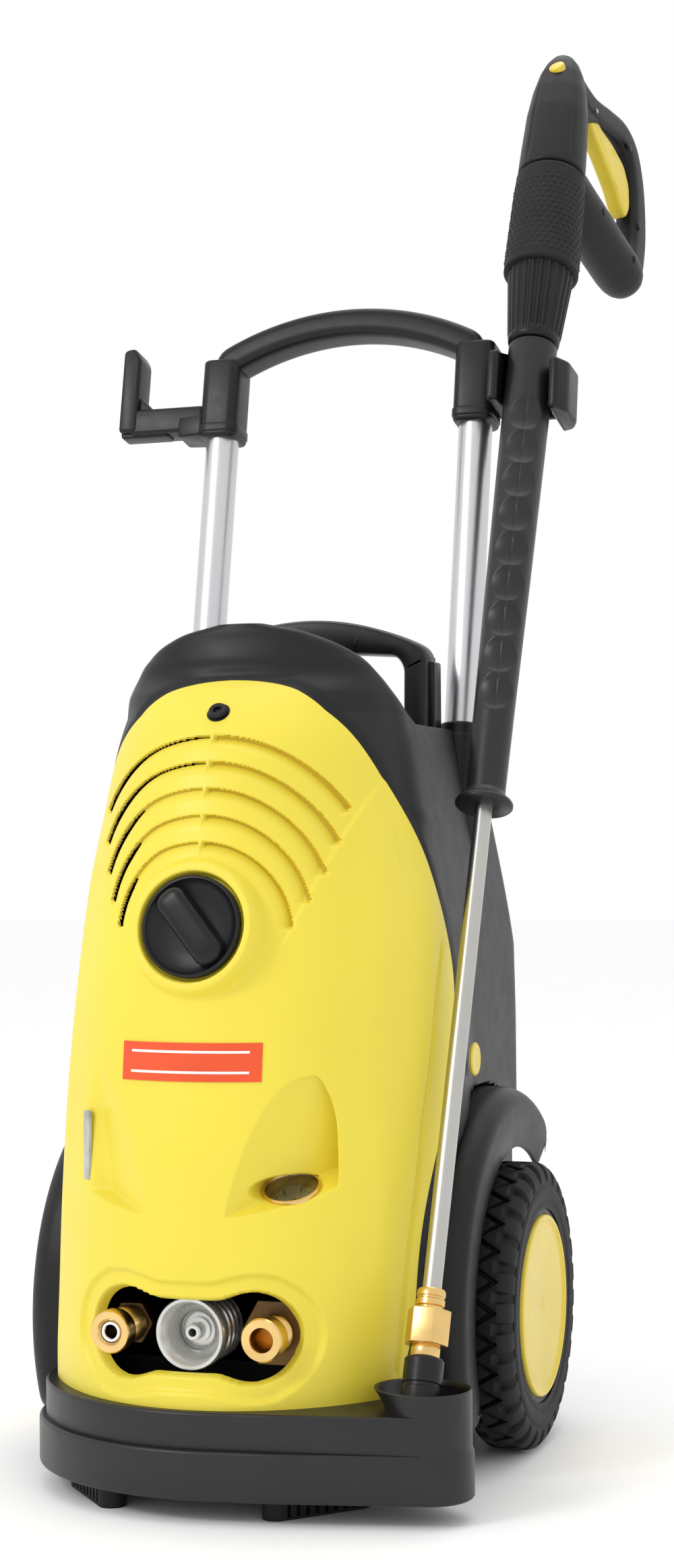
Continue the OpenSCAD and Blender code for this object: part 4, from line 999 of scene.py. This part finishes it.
def build_gun():
    points, faces = lathe([
        (0, -46), (11, -46), (11, 12), (25.5, 14), (25.5, 102), (28.8, 103), (28.9, 106), (28.4, 125),
        (26.8, 164), (23.8, 189), (19.6, 209), (15, 221), (9.5, 229.5), (4, 232.4), (0, 233)], Matrix(), 180,
        soften=2.2)
    # Two mould lines run along the front of the barrel
    a = np.arctan2(points[:, 1], points[:, 0])
    line = sum(np.exp(-((np.cos(a - math.radians(at)) - 1) * 900) ** 2) for at in (236, 318))
    line *= smooth(108, 112, points[:, 2]) * (1 - smooth(205, 222, points[:, 2]))
    points[:, :2] *= 1 - 0.035 * line[:, None]
    barrel = (placed(GUN, points), faces)
    # The thick conduit arm and the slimmer arm that closes the loop round the trigger
    lower = [(4, 1068), (40, 1065), (80, 1062), (120, 1059), (146, 1057), (156, 1056)]
    lower = curve_through([(r, 0, s) for r, s in lower], 60)
    sizes = np.interp(np.arange(60), [0, 50, 54, 57, 59], [1, 0.97, 0.93, 0.84, 0.7])
    ring = ring_at(22.4, full_turn(48), 0)[:, :2]
    thick = sweep(lower, ring, LOOP, sizes)
    upper = [(4, 1172), (28, 1172), (52, 1173), (84, 1183), (109, 1189), (129, 1183), (144, 1161),
             (153, 1128), (156, 1096), (151, 1064)]
    upper = curve_through([(r, 0, s) for r, s in upper], 120)
    widths = np.interp(np.arange(120), [0, 12, 30, 70, 105, 119], [1.15, 1.0, 0.98, 1.0, 1.12, 1.25])
    slim = sweep(upper, rounded_rect(21, 25, 8, 6), LOOP, widths)
    web = rounded([(6, 1148), (40, 1150), (60, 1163), (60, 1180), (6, 1182)], 5)
    web = slab(web, -9, 9, 3, LOOP_SIDE)
    screws = []
    for r, s in ((116, 1177), (148, 1112), (60, 1063), (126, 1058)):
        reach = 12.2 if s > 1100 else 22.3
        screws.append(lathe([(0, reach - 2), (3.6, reach - 2), (3.6, reach), (3.0, reach + 0.5),
                             (0, reach + 0.5)],
                            LOOP @ moved(r, 0, s) @ turned(90, "X"), 24))
    add_mesh("gun_shell", *joined(barrel, thick, slim, web, *screws), BLACK, "lance", "gun_plastic",
             "gun_body", split=50)


def build_trigger():
    trigger = [(43, 1158), (60, 1147), (83, 1137), (105, 1126), (121, 1113), (132, 1111), (137, 1125),
               (132, 1146), (118, 1160), (93, 1165), (66, 1165), (54, 1171), (46, 1171), (41, 1166)]
    lever = slab(rounded(trigger, 6, steps=4), -7, 7, 3, LOOP_SIDE)
    add_mesh("trigger_lever_shell", *lever, YELLOW_GLOSS, "trigger_lever", "yellow_plastic", "trigger")


def build_button():
    button = LOOP @ moved(-15.6, -5, 1163) @ turned(-66, "Y")
    turned_piece("button_cap", [(0, -8.5), (6.9, -8.5), (6.9, 5.2), (6.2, 6.1), (4, 6.5), (0, 6.5)], button,
                 48, YELLOW_GLOSS, "button", "yellow_plastic", "safety_button")


# Finishes on the CAD nodes that stay as they are
CAD_FINISH = (
    (RUBBER, "foot_left foot_right"), (BLACK, "rim_left rim_right"),
    (BLACK_SATIN, "tube_bushes gauge_needle"), (BLACK_DEEP, "switch_body cooling_fan"),
    (CAST, "motor_housing crankcase"), (ALUMINIUM, "capacitor"),
    (STEEL, "axle axle_clips handle_screws motor_shaft motor_bracket pressure_pipe trigger_pin"),
    # The unloader valve gets the darkened brass: painted shade
    (BRASS, "pump_head gun_inlet"), (BRASS_PAINTED_SHADE, "unloader_valve"))


def finish_cad_nodes():
    for material, names in CAD_FINISH:
        for name in names.split():
            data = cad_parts[name].data
            data.materials.clear()
            data.materials.append(material)


# Stage: pale floor, soft light and the camera
def area_light(name, at, to, energy, size):
    data = bpy.data.lights.new(name, "AREA")
    data.energy, data.size = energy, size
    lamp = bpy.data.objects.new(name, data)
    lamp.location = at
    lamp.rotation_euler = (Vector(to) - Vector(at)).to_track_quat("-Z", "Y").to_euler()
    bpy.context.collection.objects.link(lamp)


def build_stage():
    data = bpy.data.cameras.new("camera")
    camera = bpy.data.objects.new("camera", data)
    bpy.context.collection.objects.link(camera)
    bpy.context.scene.camera = camera
    data.lens, data.sensor_width, data.sensor_fit = 58.4, 36.0, "AUTO"
    azimuth, pitch, roll = 18.63, 1.6, -0.5
    camera.location = (0.6755, (-1826.1 - ORIGIN_Y) * MM, 0.4605)
    camera.rotation_euler = (turned(azimuth, "Z") @ turned(90 + pitch, "X") @ turned(roll, "Z")).to_euler()
    bpy.ops.mesh.primitive_plane_add(size=30, location=(0, 0, CAD_BOUNDS[0][2]))
    floor = bpy.context.object
    floor.name = "floor"
    floor.data.materials.append(finish("floor_white", (0.97, 0.97, 0.97), 0.75, vary=0.02, grain=50,
                                       depth=20))
    bpy.context.scene.view_settings.view_transform = "Standard"
    world = bpy.data.worlds.new("studio")
    bpy.context.scene.world = world
    world.use_nodes = True
    set_inputs(world.node_tree.nodes["Background"], Color=(1, 1, 1, 1), Strength=1.0)
    area_light("key", (-1.6, -2.6, 2.4), (0, 0, 0.5), 34, 1.0)
    area_light("top", (0.2, 0.6, 3.2), (0, 0, 0.4), 19, 2.2)


for build in (build_stage, build_cover, build_housing, build_badge, build_guards, build_base,
              build_wheels, build_handle, build_hose_hook, build_lance_clip, build_carry_handle,
              build_knob, build_gauge, build_small_trim, build_outlet, build_inlet, build_bypass,
              build_lance_tube, build_lance_grip, build_union_nut, build_sleeve, build_gun, build_trigger,
              build_button, finish_cad_nodes):
    build()

bpy.context.view_layer.update()
